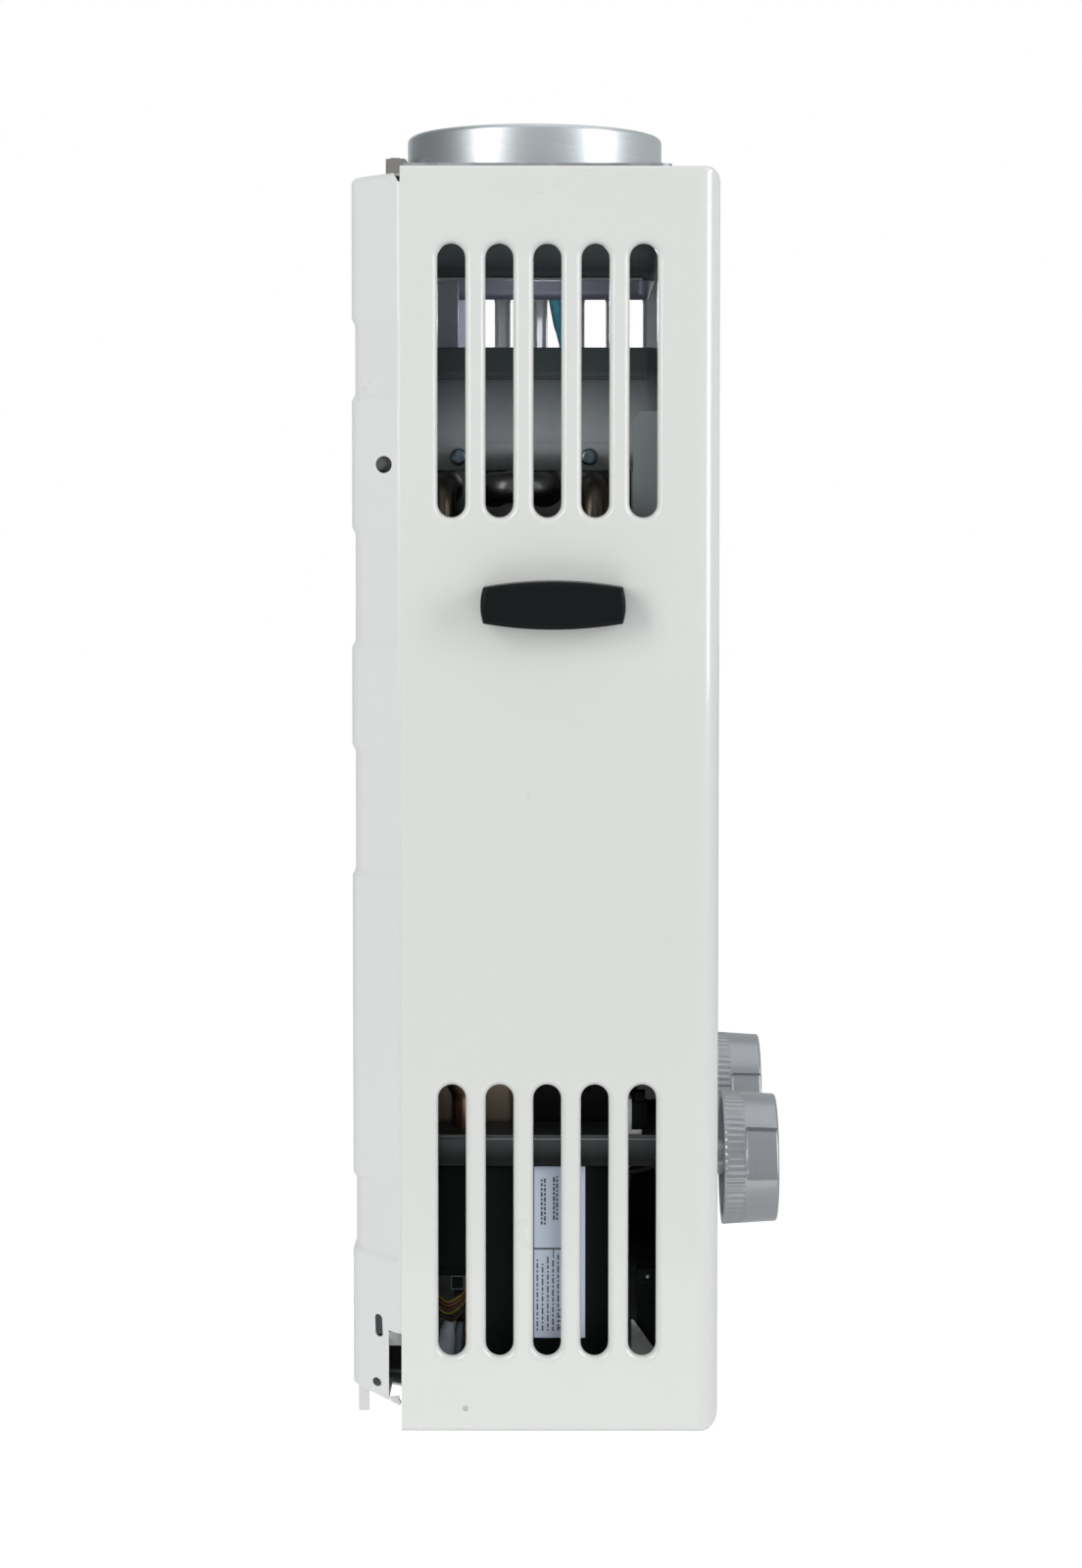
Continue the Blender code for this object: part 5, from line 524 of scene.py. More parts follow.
def rework(obj, change):
    """Lets a function change an object's baked mesh."""
    bm = bmesh.new()
    bm.from_mesh(obj.data)
    change(bm)
    bmesh.ops.recalc_face_normals(bm, faces=bm.faces)
    bm.to_mesh(obj.data)
    bm.free()


def weigh(obj, angle):
    """Shades a baked piece smooth, with its large faces kept flat beside rounded edges."""
    smooth(obj.data, angle)
    settle(obj.modifiers.new("weigh", "WEIGHTED_NORMAL"), keep_sharp=True, weight=80)


def fold(obj, **options):
    """Gives a bare skin the thickness of its sheet, inwards."""
    settle(obj.modifiers.new("sheet", "SOLIDIFY"), thickness=SHEET * MM, offset=-1, **options)


def round_edges(obj, width, segments=2, method="ANGLE", **options):
    settle(obj.modifiers.new("round", "BEVEL"), width=width * MM, segments=segments, limit_method=method,
           angle_limit=math.radians(40), **options)


def dress_carried_over():
    """Gives each carried-over piece its finish and soft edges."""
    for surface, edge, names in DRESSED:
        for name in names.split():
            obj = NODES[name]
            obj.data.materials.clear()
            obj.data.materials.append(surface)
            round_edges(obj, edge)


# Front cover

FRONT_ROUND, TOP_ROUND, REAR_ROUND = 10.5, 6.2, 1.8
SLOT_HALF = 6
RIM = 3
WALL_TILT, WALL_AREA = 0.3, 2e-4
SLOTS = [(21.9 + 20.7 * i, low, high) for i in range(5) for low, high in ((405, 510.7), (38.9, 146.2))]


def cover_box():
    """A box without its rear face, with the share of the rounding that each edge takes."""
    bm = bmesh.new()
    size = Vector((2 * COVER_HALF, COVER_DEPTH, CASE_HEIGHT)) * MM
    middle = Matrix.Translation(at(0, COVER_DEPTH / 2, CASE_HEIGHT / 2))
    bmesh.ops.create_cube(bm, size=1, matrix=middle @ Matrix.Diagonal((*size, 1)))
    weights = bm.edges.layers.float.new("bevel_weight_edge")
    rear = max(bm.faces, key=lambda face: face.calc_center_median().y)
    front = min(bm.faces, key=lambda face: face.calc_center_median().y)
    for edge in bm.edges:
        along = edge.verts[0].co - edge.verts[1].co
        if front in edge.link_faces:
            edge[weights] = 1 if abs(along.z) > MM else TOP_ROUND / FRONT_ROUND
        elif rear not in edge.link_faces:
            edge[weights] = REAR_ROUND / FRONT_ROUND
    bmesh.ops.delete(bm, geom=[rear], context="FACES_ONLY")
    return bm


def cover_holes():
    """What is cut out of the cover: slots, knob, screw, clip and display holes, and most of its floor."""
    bm = bmesh.new()
    for side in SIDES:
        for slot in SLOTS:
            plate_into(bm, stadium(*slot, SLOT_HALF + RIM), side * 150, side * 170)
        drill_into(bm, 8, 6, at(side * KNOB_X, 135, KNOB_UP), (0, -1, 0), 48)
        drill_into(bm, 2.1, 6, at(side * COVER_SCREW_X, COVER_SCREW_FORWARD, -3), UP, 24)
        for forward in CLIP_FORWARDS:
            box_into(bm, (side * 155, forward - 3.3, 359.8), (side * 170, forward + 3.3, 363.4), 0)
    box_into(bm, (-22.3, 133, 81.7), (22.3, 142, 103.3), 0)
    box_into(bm, (-153, -5, -5), (153, 126, 3), 0)
    return bm


def flue_notch():
    """The opening round the flue collar in the cover's top, which runs out to the rear edge."""
    outline = arc((0, FLUE_FORWARD), FLUE_HOLE, 0, PI, 48) + [(-FLUE_HOLE, -6), (FLUE_HOLE, -6)]
    return shape(rings_into, [level(outline, up) for up in (540, 556)])


def is_slot_wall(face):
    """Whether a face belongs to the plain wall that the cut of a slot leaves."""
    centre = face.calc_center_median() / MM
    depth = COVER_HALF - abs(centre.x)
    if abs(face.normal.x) >= WALL_TILT or not -0.2 < depth < SHEET + 0.2 or face.calc_area() >= WALL_AREA:
        return False
    f, h = -centre.y - PAN_DEPTH, centre.z + ORIGIN_UP
    reach = SLOT_HALF + RIM + 0.6
    return any(abs(f - forward) < reach and low - reach < h < high + reach for forward, low, high in SLOTS)


def roll_rims(bm):
    """Puts a rim that rolls inwards in place of each slot's plain wall."""
    walls = [face for face in bm.faces if is_slot_wall(face)]
    bmesh.ops.delete(bm, geom=walls, context="FACES_ONLY")
    outer = arc((RIM, RIM), RIM, -PI / 2, -PI, 8)
    inner = arc((RIM, RIM), RIM - SHEET, -PI, -PI / 2, 6)
    section = outer + [(0.2, 3.35), (0.8, 3.35)] + inner
    for slot in SLOTS:
        for side in SIDES:
            rings_into(bm, [upright(stadium(*slot, SLOT_HALF + grow), side * (COVER_HALF - depth))
                            for grow, depth in section], caps=False)
    bmesh.ops.remove_doubles(bm, verts=bm.verts, dist=2e-5)


def make_cover():
    cover = add("cover_skin", cover_box(), WHITE, "enamel", nodes="front_cover")
    round_edges(cover, FRONT_ROUND, 8, "WEIGHT")
    fold(cover, use_even_offset=True)
    bake(cover, cover_holes(), flue_notch())
    rework(cover, roll_rims)
    weigh(cover, 32)
    starts = [(at(side * COVER_HALF, 27.9, 10.4), (side, 0, 0)) for side in SIDES]
    dimple = [(0, 0.35), (0.8, 0.3), (1.3, 0), (1.3, -0.2), (0, -0.2)]
    lathe("side_dimples", dimple, starts, DIMPLE_SHADE_WHITE, "enamel", 24)


# Back pan

PAN_LOW, PAN_HIGH = 15, 544
PAN_ROUND = 3
LIP_X = 163.7
REAR_HALF = 146
CORNER_REACH = 5.625
BANDS = ((77, 105.05), (243.98, 295.02), (345, 391), (453, 482))
BAND_DEPTH = 1.4
BAND_EASE = 4
FOOT_SLANT = 0.18


def pan_recess(up):
    """How far the pan's rear is pressed in at a height, with soft steps."""
    deepest = 0
    for low, high in BANDS:
        share = max(0, min(1, (up - low) / BAND_EASE + 1, (high - up) / BAND_EASE + 1))
        deepest = max(deepest, share * share * (3 - 2 * share))
    return BAND_DEPTH * deepest


def pan_half(recess):
    """Half of the pan's section, from its front lip to its flat rear, as (across, forward)."""
    lip = Vector((LIP_X, 1.2))
    bend = Vector((LIP_X, -0.8))
    corner = Vector((REAR_HALF - recess, recess - PAN_DEPTH))
    slant = (corner - bend).normalized()
    lip_turn = bezier(lip, bend, bend + slant * 2, 4)
    rear_turn = bezier(corner - slant * CORNER_REACH, corner, corner - Vector((CORNER_REACH, 0)), 8)
    return [Vector((LIP_X, 10))] + lip_turn + rear_turn


def inward(points, depth):
    """The points of half a rear wall's section, moved in by a depth square to the wall."""
    moved = []
    last = len(points) - 1
    for i, (x, f) in enumerate(points):
        along = (points[min(i + 1, last)] - points[max(i - 1, 0)]).normalized()
        if i == last:
            along = Vector((-1, 0))
        moved.append((x + along.y * depth, f - along.x * depth))
    return moved


def pan_shell(depth):
    """Rows of points over the pan's skin, or over its inner face a depth inside."""
    levels = [PAN_LOW + depth, 60, 210, 430, 520, PAN_HIGH]
    for low, high in BANDS:
        levels += [start + 0.8 * i for start in (low - BAND_EASE, high) for i in range(6)]
    sections = [(up, pan_recess(up), FOOT_SLANT if up < 17 else 0) for up in sorted(levels)]
    radius = PAN_ROUND - depth
    for shrink, up in arc((radius, PAN_HIGH), radius, PI, PI / 2, 6)[1:]:
        sections.append((up, shrink, 0))
    rows = []
    for up, recess, slant in sections:
        half = inward(pan_half(recess), depth)
        whole = half + [(-x, f) for x, f in reversed(half)]
        rows.append([at(x, f, up - slant * (f + PAN_DEPTH)) for x, f in whole])
    return rows


def pan_sheet():
    """The pan's outer and inner faces, closed along their ends and their front edges."""
    bm = bmesh.new()
    outer, inner = (rings_into(bm, pan_shell(depth), caps=False, closed=False) for depth in (0, SHEET))
    for row in (outer[0], outer[-1], inner[0], inner[-1]):
        last = len(row) - 1
        for i in range(last // 2):
            bm.faces.new((row[i], row[i + 1], row[last - 1 - i], row[last - i]))
    for end in (0, -1):
        bm.faces.new((outer[end][0], outer[end][-1], inner[end][-1], inner[end][0]))
        for k in range(len(outer) - 1):
            bm.faces.new((outer[k][end], outer[k + 1][end], inner[k + 1][end], inner[k][end]))
    return bm


def pan_cuts():
    """What is cut out of the pan: holes, corner wedges, notches below, and places for hanger and flue."""
    cuts = []
    for side in SIDES:
        across = (side, 0, 0)
        slot = [(f - (h - 43.8) * 0.04, h) for f, h in stadium(-10.6, 40.5, 47.1, 1.7)]
        wedge = [(-4.4, 549.5), (11.3, 549.5), (11.3, 541.7), (-0.9, 543.2)]
        cuts += [shape(drill_into, 3.7, 25, at(side * 145, -7.6, 421.7), across, 40),
                 shape(drill_into, 2, 25, at(side * 145, -11.6, 18.4), across),
                 shape(plate_into, slot, side * 140, side * 170),
                 shape(plate_into, wedge, side * 159.3, side * 171),
                 shape(box_into, (side * 140.5, -6, -2), (side * 168, 14, 42.8), 0)]
    cuts.append(shape(box_into, (-26.5, -19, 543), (26.5, -5, 550), 0))
    cuts.append(shape(drill_into, FLUE_HOLE, 10, at(0, FLUE_FORWARD, 541), UP, 96))
    return cuts


def add_tabs(bm):
    """The two tabs below the pan's rear corners."""
    tab = [(126, -21.1), (139.4, -21.1), (140, -20.5), (140, -16.3), (139, -16.3), (139, -20.1),
           (126, -20.1)]
    for side in SIDES:
        rings_into(bm, [level([(side * x, f) for x, f in tab], up) for up in (0, 3, 15.2)])


def make_pan():
    pan = add("pan_skin", pan_sheet(), PAN_WHITE, "enamel", nodes="back_pan")
    bake(pan, *pan_cuts())
    rework(pan, add_tabs)
    weigh(pan, 34)
    # the lug lanced out below each side wall, the returns beside the notches, the plates behind the slots
    lug = [(-5.4, 11.6), (-1.2, 9.6), (-0.4, 11), (-1.6, 12.6), (-1.2, 13.6), (-5.6, 13.4)]
    round_edges(plates("pan_lugs", lug, 158.6, 159.8, PAN_WHITE, "enamel"), 0.3)
    returns = mirrored(((150, -7.2, 33), (150.8, -1.2, 39)))
    boxes("pan_returns", returns, PAN_WHITE, "enamel", 0.2)
    backing = mirrored(((141, -17, 35), (141.6, -7.4, 51)))
    boxes("pan_backing", backing, POST_STEEL, "galvanised", 0.2)


# Flue collar, top plate's ears and hanger's cheeks

COLLAR_LOW, COLLAR_HIGH = 553.1, 581.6
ROLL, ROLL_GAP = 2.6, 0.1


def make_collar():
    """The spun ring with its rolled rim and the small groove near its foot.

    A gap below the roll keeps the straight wall's shading apart from it.
    """
    height = COLLAR_HIGH - COLLAR_LOW
    inside = FLUE_RADIUS - SHEET
    centre = (FLUE_RADIUS - ROLL, height - ROLL)
    outer = arc(centre, ROLL, 0.62 * PI, 0, 10)
    inner = arc(centre, ROLL - SHEET, 0, 0.55 * PI, 6)
    wall = [(FLUE_RADIUS, height - 8), (FLUE_RADIUS, 6.5), (FLUE_RADIUS - 0.15, 5.6), (FLUE_RADIUS, 4.7),
            (FLUE_RADIUS, 0.6), (FLUE_RADIUS - 0.3, 0), (58, 0), (58, 0.9), (inside - 0.3, 1),
            (inside, 1.6), (inside, height - ROLL - ROLL_GAP)]
    foot = [(at(0, FLUE_FORWARD, COLLAR_LOW), UP)]
    lathe("collar", outer + wall + inner, foot, COLLAR_STEEL, "aluminised", 160, True, nodes="flue_collar",
          angle=40)
    rivet = [(0, 1.1), (1.6, 0.9), (2.3, 0.2), (2.3, 0), (0, 0)]
    spots = arc((0, FLUE_FORWARD), 60.2, PI / 4, PI / 4 + TAU, 4)[:-1]
    starts = [(at(*spot, COLLAR_LOW + 1), UP) for spot in spots]
    lathe("collar_rivets", rivet, starts, STEEL, "aluminised", 20)


def make_hanger_parts():
    cheek = [(-16.7, 554.2), (-8, 554.2), (-7.1, 555.1), (-7.1, 568.1), (-8.3, 569.2), (-15.6, 569.2),
             (-16.7, 568.1)]
    plates("hanger_cheeks", cheek, 25.1, 26.2, HANGER_ZINC, "galvanised")
    ear = [(-6.7, 547.8), (-1, 543.2), (-0.6, 543.4), (-0.6, 554.2), (-1, 554.6), (-4.9, 554.6),
           (-5.3, 554.2)]
    plates("plate_ears", ear, 151, 151.9, HANGER_ZINC, "galvanised")


# Knobs, with distances measured forward from a knob's back

KNOB_BACK = 144.3
KNOB_RADIUS = 31
KNOB_TAPER, TAPER_END = 1.5, 23.4
RIBS, RIB_DEPTH = 60, 0.42
RIBS_START, RIBS_END = 0.7, 10.2
FLANK_START, FLANK_DEPTH = 10.3, 2.2
FLANK_LOW, FLANK_HIGH = -0.415, 0.4116
FACE_START, FACE_ROUND = 24.4, 1.3
KNOB_LEVELS = (0.35, 0.7, 1.3, 3.2, 5.2, 7.2, 8.8, 9.5, 10.2, 10.35, 10.8, 11.3, 13.5, 16, 18.5, 21,
               FACE_START)
KNOB_FACE = ((26.2, 25.8), (25.4, 25.75), (24.6, 25.65), (23.6, 25.65), (18, 25.95), (10, 26.2), (4, 26.3))
KNOB_BORE = ((4.3, 14), (4.4, -5.7), (7.6, -5.7), (8, -5.2), (8, 19.6), (8.4, 20.4), (26.6, 20),
             (27.2, 0.5), (28, 0), (30, 0))
KNOB_SIDES = 360


def knob_radius(angle, along, turned):
    """The knob's outer radius at an angle from across, upwards positive, and a distance from its back."""
    radius = KNOB_RADIUS - KNOB_TAPER * min(along, TAPER_END) / TAPER_END
    if RIBS_START < along < RIBS_END:
        fade = min(1, (along - RIBS_START) / 0.6, (RIBS_END - along) / 1.4)
        radius -= RIB_DEPTH * fade * (0.5 + 0.5 * math.cos(RIBS * angle))
    if along > FLANK_START:
        fade = min(1, (along - FLANK_START) / 0.9)
        for middle, way in ((0, 1), (PI, -1)):
            local = way * ((angle - middle + PI) % TAU - PI + turned)
            if FLANK_LOW < local < FLANK_HIGH:
                share = (FLANK_HIGH - local) / (FLANK_HIGH - FLANK_LOW)
                radius -= FLANK_DEPTH * fade * (1 - share * share)
    return radius


def make_knob(name, side, node, body, turned):
    """A knob with a ribbed band, two hollowed flanks, a bore behind and a dot in front."""
    centre = at(side * KNOB_X, KNOB_BACK, KNOB_UP)
    angles = [TAU * i / KNOB_SIDES for i in range(KNOB_SIDES)]

    def spot(radius, angle, along):
        return centre + Vector((radius * math.cos(angle), -along, radius * math.sin(angle))) * MM

    outside = [(0.35, 0)] + [(0, along) for along in KNOB_LEVELS]
    outside += arc((FACE_ROUND, FACE_START), FACE_ROUND, PI, PI / 2, 6)[1:]
    rings = [[spot(radius, angle, along) for angle in angles] for radius, along in KNOB_BORE]
    rings += [[spot(knob_radius(angle, along, turned) - inset, angle, along) for angle in angles]
              for inset, along in outside]
    rings += [[spot(radius, angle, along) for angle in angles] for radius, along in KNOB_FACE]
    add(name, shape(rings_into, rings), SATIN, "satin_silver", body, node, 28)
    dot = [(0, 0.25), (0.7, 0.22), (1.15, 0), (1.15, -0.5), (0, -0.5)]
    lathe(name + "_dot", dot, [(spot(19.5, PI / 2, 25.95), (0, -1, 0))], LENS, "black", 28, body=body)


# Cup pulls

PULL_FACE, PULL_OUTER = 165.3, 178.3
PULL_HALF, PULL_RISE = 29.9, 7.75
PULL_BOW, PULL_BULGE = 2.6, 1.2


def pull_outline():
    """The pull's bowed long sides and bulging short ends, as (forward, up)."""
    half = [(PULL_HALF * t, PULL_RISE + PULL_BOW * (1 - t * t)) for t in (i / 20 - 1 for i in range(41))]
    half += [(PULL_HALF + PULL_BULGE * (1 - t * t), PULL_RISE * t)
             for t in (1 - i / 4 for i in range(1, 8))]
    return [(PULL_FORWARD + f, PULL_UP + h) for f, h in half + [(-f, -h) for f, h in half]]


def make_pull(side, side_name):
    name = "handle_" + side_name
    solid = shape(plate_into, pull_outline(), side * PULL_FACE, side * PULL_OUTER)
    pull = add(name, solid, BLACK, "black", nodes="side_handle_" + side_name, angle=30)
    outer = pull.vertex_groups.new(name="outer")
    outer.add([v.index for v in pull.data.vertices if abs(abs(v.co.x) / MM - PULL_OUTER) < 0.1], 1, "ADD")
    round_edges(pull, 3, 6, "VGROUP", vertex_group="outer")
    low = (side * (PULL_FACE + 1.5), PULL_FORWARD - 26.6, 340)
    high = (side * (PULL_OUTER - 2.2), PULL_FORWARD + 26.6, PULL_UP + 5.5)
    bake(pull, shape(box_into, low, high, 2.2, 4))
    weigh(pull, 30)
    spans = []
    for forward in CLIP_FORWARDS:
        spans.append(((side * 162.4, forward - 3, 360.1), (side * 166, forward + 3, 363.1)))
        spans.append(((side * 162.4, forward - 3, 360.1), (side * 163.6, forward + 3, 364.2)))
    boxes(name + "_clips", spans, BLACK, "black", 0.2)


# Draught hood

HOOD_BACK, HOOD_FRONT = 4, 112.5
BELL_HALF, BELL_FRONT = 72, 112
BELL_LOW, BELL_NECK = 519.3, 541
NECK_RADIUS = 60
QUARTER_GAP = 0.03 / 8.06
RIM_HALF = 112


def rounded(half, back, front, corner):
    """A rectangle with round corners, as (across, forward)."""
    x, rear, fore = half - corner, back + corner, front - corner
    points = []
    for quarter, centre in enumerate(((x, rear), (-x, rear), (-x, fore), (x, fore))):
        points += arc(centre, corner, -PI / 2 * quarter, -PI / 2 * (quarter + 1), 8)
    return points


def circle_like(radius, forward):
    """A circle whose points pair with those of rounded(). A small gap keeps its quarters apart."""
    points = []
    for quarter in range(4):
        start, finish = quarter + QUARTER_GAP, quarter + 1 - QUARTER_GAP
        points += arc((0, forward), radius, -PI / 2 * start, -PI / 2 * finish, 8)
    return points


def sheet_loft(name, rows, surface, node, linings=()):
    """A sheet through (outline, height) rows. Linings are the materials of its inner face and its edge."""
    rings = [level(outline, up) for outline, up in rows]
    obj = add(name, shape(rings_into, rings, False), surface, "hood_steel", nodes=node)
    for lining in linings:
        obj.data.materials.append(lining)
    fold(obj, material_offset=min(1, len(linings)), material_offset_rim=len(linings))


def make_bell():
    """The upper hood: a rectangle that eases into the flue's neck."""
    rect = rounded(BELL_HALF, HOOD_BACK, BELL_FRONT, 6)
    neck = circle_like(NECK_RADIUS, FLUE_FORWARD)
    rows = [(rect, 507.35), (rect, 512), (rect, BELL_LOW)]
    for step in range(1, 12):
        t = step / 12
        ease = t * t * (3 - 2 * t)
        mixed = [(a[0] + (b[0] - a[0]) * ease, a[1] + (b[1] - a[1]) * ease) for a, b in zip(rect, neck)]
        rows.append((mixed, BELL_LOW + (BELL_NECK - BELL_LOW) * t))
    rows += [(neck, BELL_NECK), (neck, 551.4)]
    # The bell's outer face carries painted shade and light, and its edge a painted highlight.
    sheet_loft("hood_bell", rows, SHADED_BELL_STEEL, "hood_upper", (BELL_INNER, EDGE_HIGHLIGHT))


def make_cone():
    """The lower hood: a skirt with a ledge, and a cone up to its rim."""
    skirt = rounded(121.8, 0.7, HOOD_FRONT, 2)
    ledge = rounded(121.2, 0.9, HOOD_FRONT, 2.3)
    rim = rounded(RIM_HALF, HOOD_BACK, HOOD_FRONT, 6)
    flare = rounded(RIM_HALF + 0.3, HOOD_BACK - 0.2, HOOD_FRONT + 0.2, 6.2)
    rows = [(skirt, 419.1), (skirt, 431.2), (ledge, 432), (rim, 459.6), (rim, 473.3), (flare, 474.1)]
    sheet_loft("hood_cone", rows, HOOD_STEEL, "hood_lower")
    wing = [(100.9, 382), (112, 382), (112.6, 382.6), (112.6, 445), (112, 445.6), (104, 445.6),
            (100.9, 441)]
    plates("baffle_wings", wing, 121.9, 122.5, BAFFLE_STEEL, "hood_steel")


def make_beads():
    """A thin bead along each lower edge of the bell, pale as a painted highlight, and one along the foot of
    the cone's rim.
    """
    for name, x, up, radius, surface in (("bell", BELL_HALF, 508, 0.55, EDGE_HIGHLIGHT),
                                         ("rim", RIM_HALF + 0.2, 460.8, 0.7, HOOD_STEEL)):
        for side, side_name in SIDE_NAMES:
            bead = [at(side * x, forward, up) for forward in (10, 106)]
            pipe("%s_bead_%s" % (name, side_name), bead, radius, surface, "hood_steel")


# Screws

SCREW_HEAD, SCREW_HEIGHT = 3.8, 2.4


def make_screw(name, place, direction, node, reach, surface):
    """A pan-head screw with a cross recess."""
    profile = [(0, SCREW_HEIGHT)]
    for sine, cosine in [(math.sin(PI / 12 * i), math.cos(PI / 12 * i)) for i in range(1, 7)]:
        profile.append((SCREW_HEAD * (0.35 + 0.65 * sine), SCREW_HEIGHT * (0.42 + 0.58 * cosine)))
    profile += [(SCREW_HEAD, 0.25), (SCREW_HEAD * 0.94, 0), (1.8, 0), (1.8, -reach), (0, -reach)]
    screw = lathe(name, profile, [(place, direction)], surface, "steel", 40, nodes=node)
    turn = Vector(direction).to_track_quat("Z", "Y").to_matrix().to_4x4()
    top = Matrix.Translation((0, 0, SCREW_HEIGHT * MM))
    blade = Matrix.Diagonal((SCREW_HEAD * 1.15 * MM, 0.8 * MM, 2.2 * MM, 1))
    cross = []
    for angle in (0.35, 0.35 + PI / 2):
        bm = bmesh.new()
        matrix = Matrix.Translation(place) @ turn @ Matrix.Rotation(angle, 4, "Z") @ top @ blade
        bmesh.ops.create_cube(bm, size=1, matrix=matrix)
        cross.append(bm)
    bake(screw, *cross)
    smooth(screw.data, 30)


def make_screws():
    for side, side_name in SIDE_NAMES:
        for forward, end in ((22.7, "rear"), (81.2, "front")):
            name = "screw_%s_%s" % (side_name, end)
            place = at(side * 122.1, forward, 425)
            make_screw(name, place, (side, 0, 0), "hood_" + name, 2.3, SCREW_STEEL)
        place = at(side * COVER_SCREW_X, COVER_SCREW_FORWARD, -0.3)
        make_screw("screw_cover_" + side_name, place, (0, 0, -1), "cover_screw_" + side_name, 4.8, STEEL)


# Heat exchanger

BLOCK_HALF, BLOCK_BACK, BLOCK_FRONT = 118, 2, 100
BLOCK_LOW, BLOCK_HIGH = 371.5, 430
FINS = 62
BEND_RADIUS = 11.35


def make_exchanger():
    """The finned block between end plates, with four cross tubes and their collars."""
    bm = bmesh.new()
    for low, high in mirrored(((117.6, BLOCK_BACK, BLOCK_LOW), (120.5, BLOCK_FRONT, BLOCK_HIGH))):
        box_into(bm, low, high, 0.8)
    for back, front in ((BLOCK_BACK, 4.2), (97.8, BLOCK_FRONT)):
        box_into(bm, (-BLOCK_HALF, back, BLOCK_LOW), (BLOCK_HALF, front, BLOCK_HIGH), 0.4, 1)
    for i in range(FINS):
        x = -116 + 232 * i / (FINS - 1)
        box_into(bm, (x - 0.25, 4, BLOCK_LOW + 1.5), (x + 0.25, 98, BLOCK_HIGH - 1.5), 0)
    for forward in TUBE_FORWARDS:
        tube = [(4.8, 0), (6.5, 0), (6.5, 248), (4.8, 248)]
        lathe_into(bm, tube, at(-124, forward, TUBE_UP), (1, 0, 0), 32, True)
        for side in SIDES:
            collar = [(6.6, -1), (9, 0.1), (7.4, 1), (6.6, 2.2)]
            lathe_into(bm, collar, at(side * 120.5, forward, TUBE_UP), (side, 0, 0), 32, True)
    add("exchanger", bm, TINNED, "tinned", nodes="heat_exchanger")


def make_bends():
    for name, side, first in (("bend_left", -1, 1), ("bend_right_rear", 1, 0), ("bend_right_front", 1, 2)):
        rear, front = TUBE_FORWARDS[first:first + 2]
        turn = arc((126.3, (rear + front) / 2), BEND_RADIUS, -PI / 2, PI / 2, 24)
        route = [(124.3, rear), *turn, (124.3, front)]
        pipe(name, level([(side * x, f) for x, f in route], TUBE_UP), 6.8, TINNED, "tinned", 6,
             nodes="return_" + name)


# Pipes, unions and chamber

COIL_HALF, COIL_BACK, COIL_FRONT = 126.1, -4.1, 106.1
COIL_LOW, COIL_PITCH = 190, 24
PIPE_RADIUS, PIPE_BEND = 6.5, 14
RISER_X, TUBE_END_X = -140.5, -124.3
SHELF_UP = 122.2
UNION_LOW = -20


def make_coil():
    """The water coil: across from the valve, round the chamber as it climbs, and up to the exchanger."""
    rounds = [(COIL_HALF, 45), (COIL_HALF, COIL_BACK), (-COIL_HALF, COIL_BACK), (-COIL_HALF, COIL_FRONT),
              (COIL_HALF, COIL_FRONT), (COIL_HALF, COIL_BACK), (-COIL_HALF, COIL_BACK)]
    corners = [at(92.3, 45, 85), at(COIL_HALF, 45, 85)]
    for index, (x, forward) in enumerate(rounds):
        up = COIL_LOW + COIL_PITCH * index * index / (index + 1)
        corners.append(at(x, forward, up))
    front_tube = TUBE_FORWARDS[3]
    corners += [at(-COIL_HALF, front_tube - 28, up), at(RISER_X, front_tube, up + 14),
                at(RISER_X, front_tube, TUBE_UP), at(TUBE_END_X, front_tube, TUBE_UP)]
    pipe("coil", bent_points(corners, PIPE_BEND), PIPE_RADIUS, PIPE_COPPER, "copper", 6, nodes="water_coil")


def make_hot_pipe():
    rear_tube = TUBE_FORWARDS[0]
    corners = [at(TUBE_END_X, rear_tube, TUBE_UP), at(RISER_X, rear_tube, TUBE_UP),
               at(RISER_X, rear_tube, SHELF_UP + 43), at(-128, 26.5, SHELF_UP + 18),
               at(-128, 26.5, SHELF_UP - 24), at(-96, 26.5, SHELF_UP - 50), at(-96, 26.5, 21.4)]
    pipe("hot_pipe", bent_points(corners, PIPE_BEND), PIPE_RADIUS, PIPE_COPPER, "copper", 6,
         nodes="hot_outlet_pipe")


def make_unions():
    """The three threaded unions below the base plate, each with its nut."""
    thread = [(7.5, 0), (9.4, 0), (10.4, 1)]
    for start in [1.4 + 1.8 * i for i in range(7)]:
        thread += [(10.4, start), (9.5, start + 0.9)]
    collar = [(10.4, 14.2), (10.4, 40.3), (14, 40.3), (14, 41.1), (13.6, 41.1), (7.5, 41.1)]
    bm = bmesh.new()
    for x, forward in ((-62, 60), (62, 60), (-96, 26.5)):
        lathe_into(bm, thread + collar, at(x, forward, UNION_LOW), UP, 48, True)
        rings_into(bm, [level(arc((x, forward), radius, 0, TAU, 6)[:-1], up)
                        for radius, up in ((14.508, 9), (15.6, 9.9), (15.6, 15.1), (14.508, 16))])
    add("unions", bm, BRASS, "brass", nodes="gas_union cold_union hot_union")


def make_chamber_rivets():
    starts = [(at(side * 119, forward, up), (side, 0, 0))
              for side in SIDES for up in (140, 362) for forward in (20, 50, 80)]
    lathe("chamber_rivets", [(0, 0.9), (1.5, 0.7), (2.1, 0), (0, 0)], starts, COPPER, "copper", 16)


# Burner shelf's lip, battery lid's ribs and lead plugs


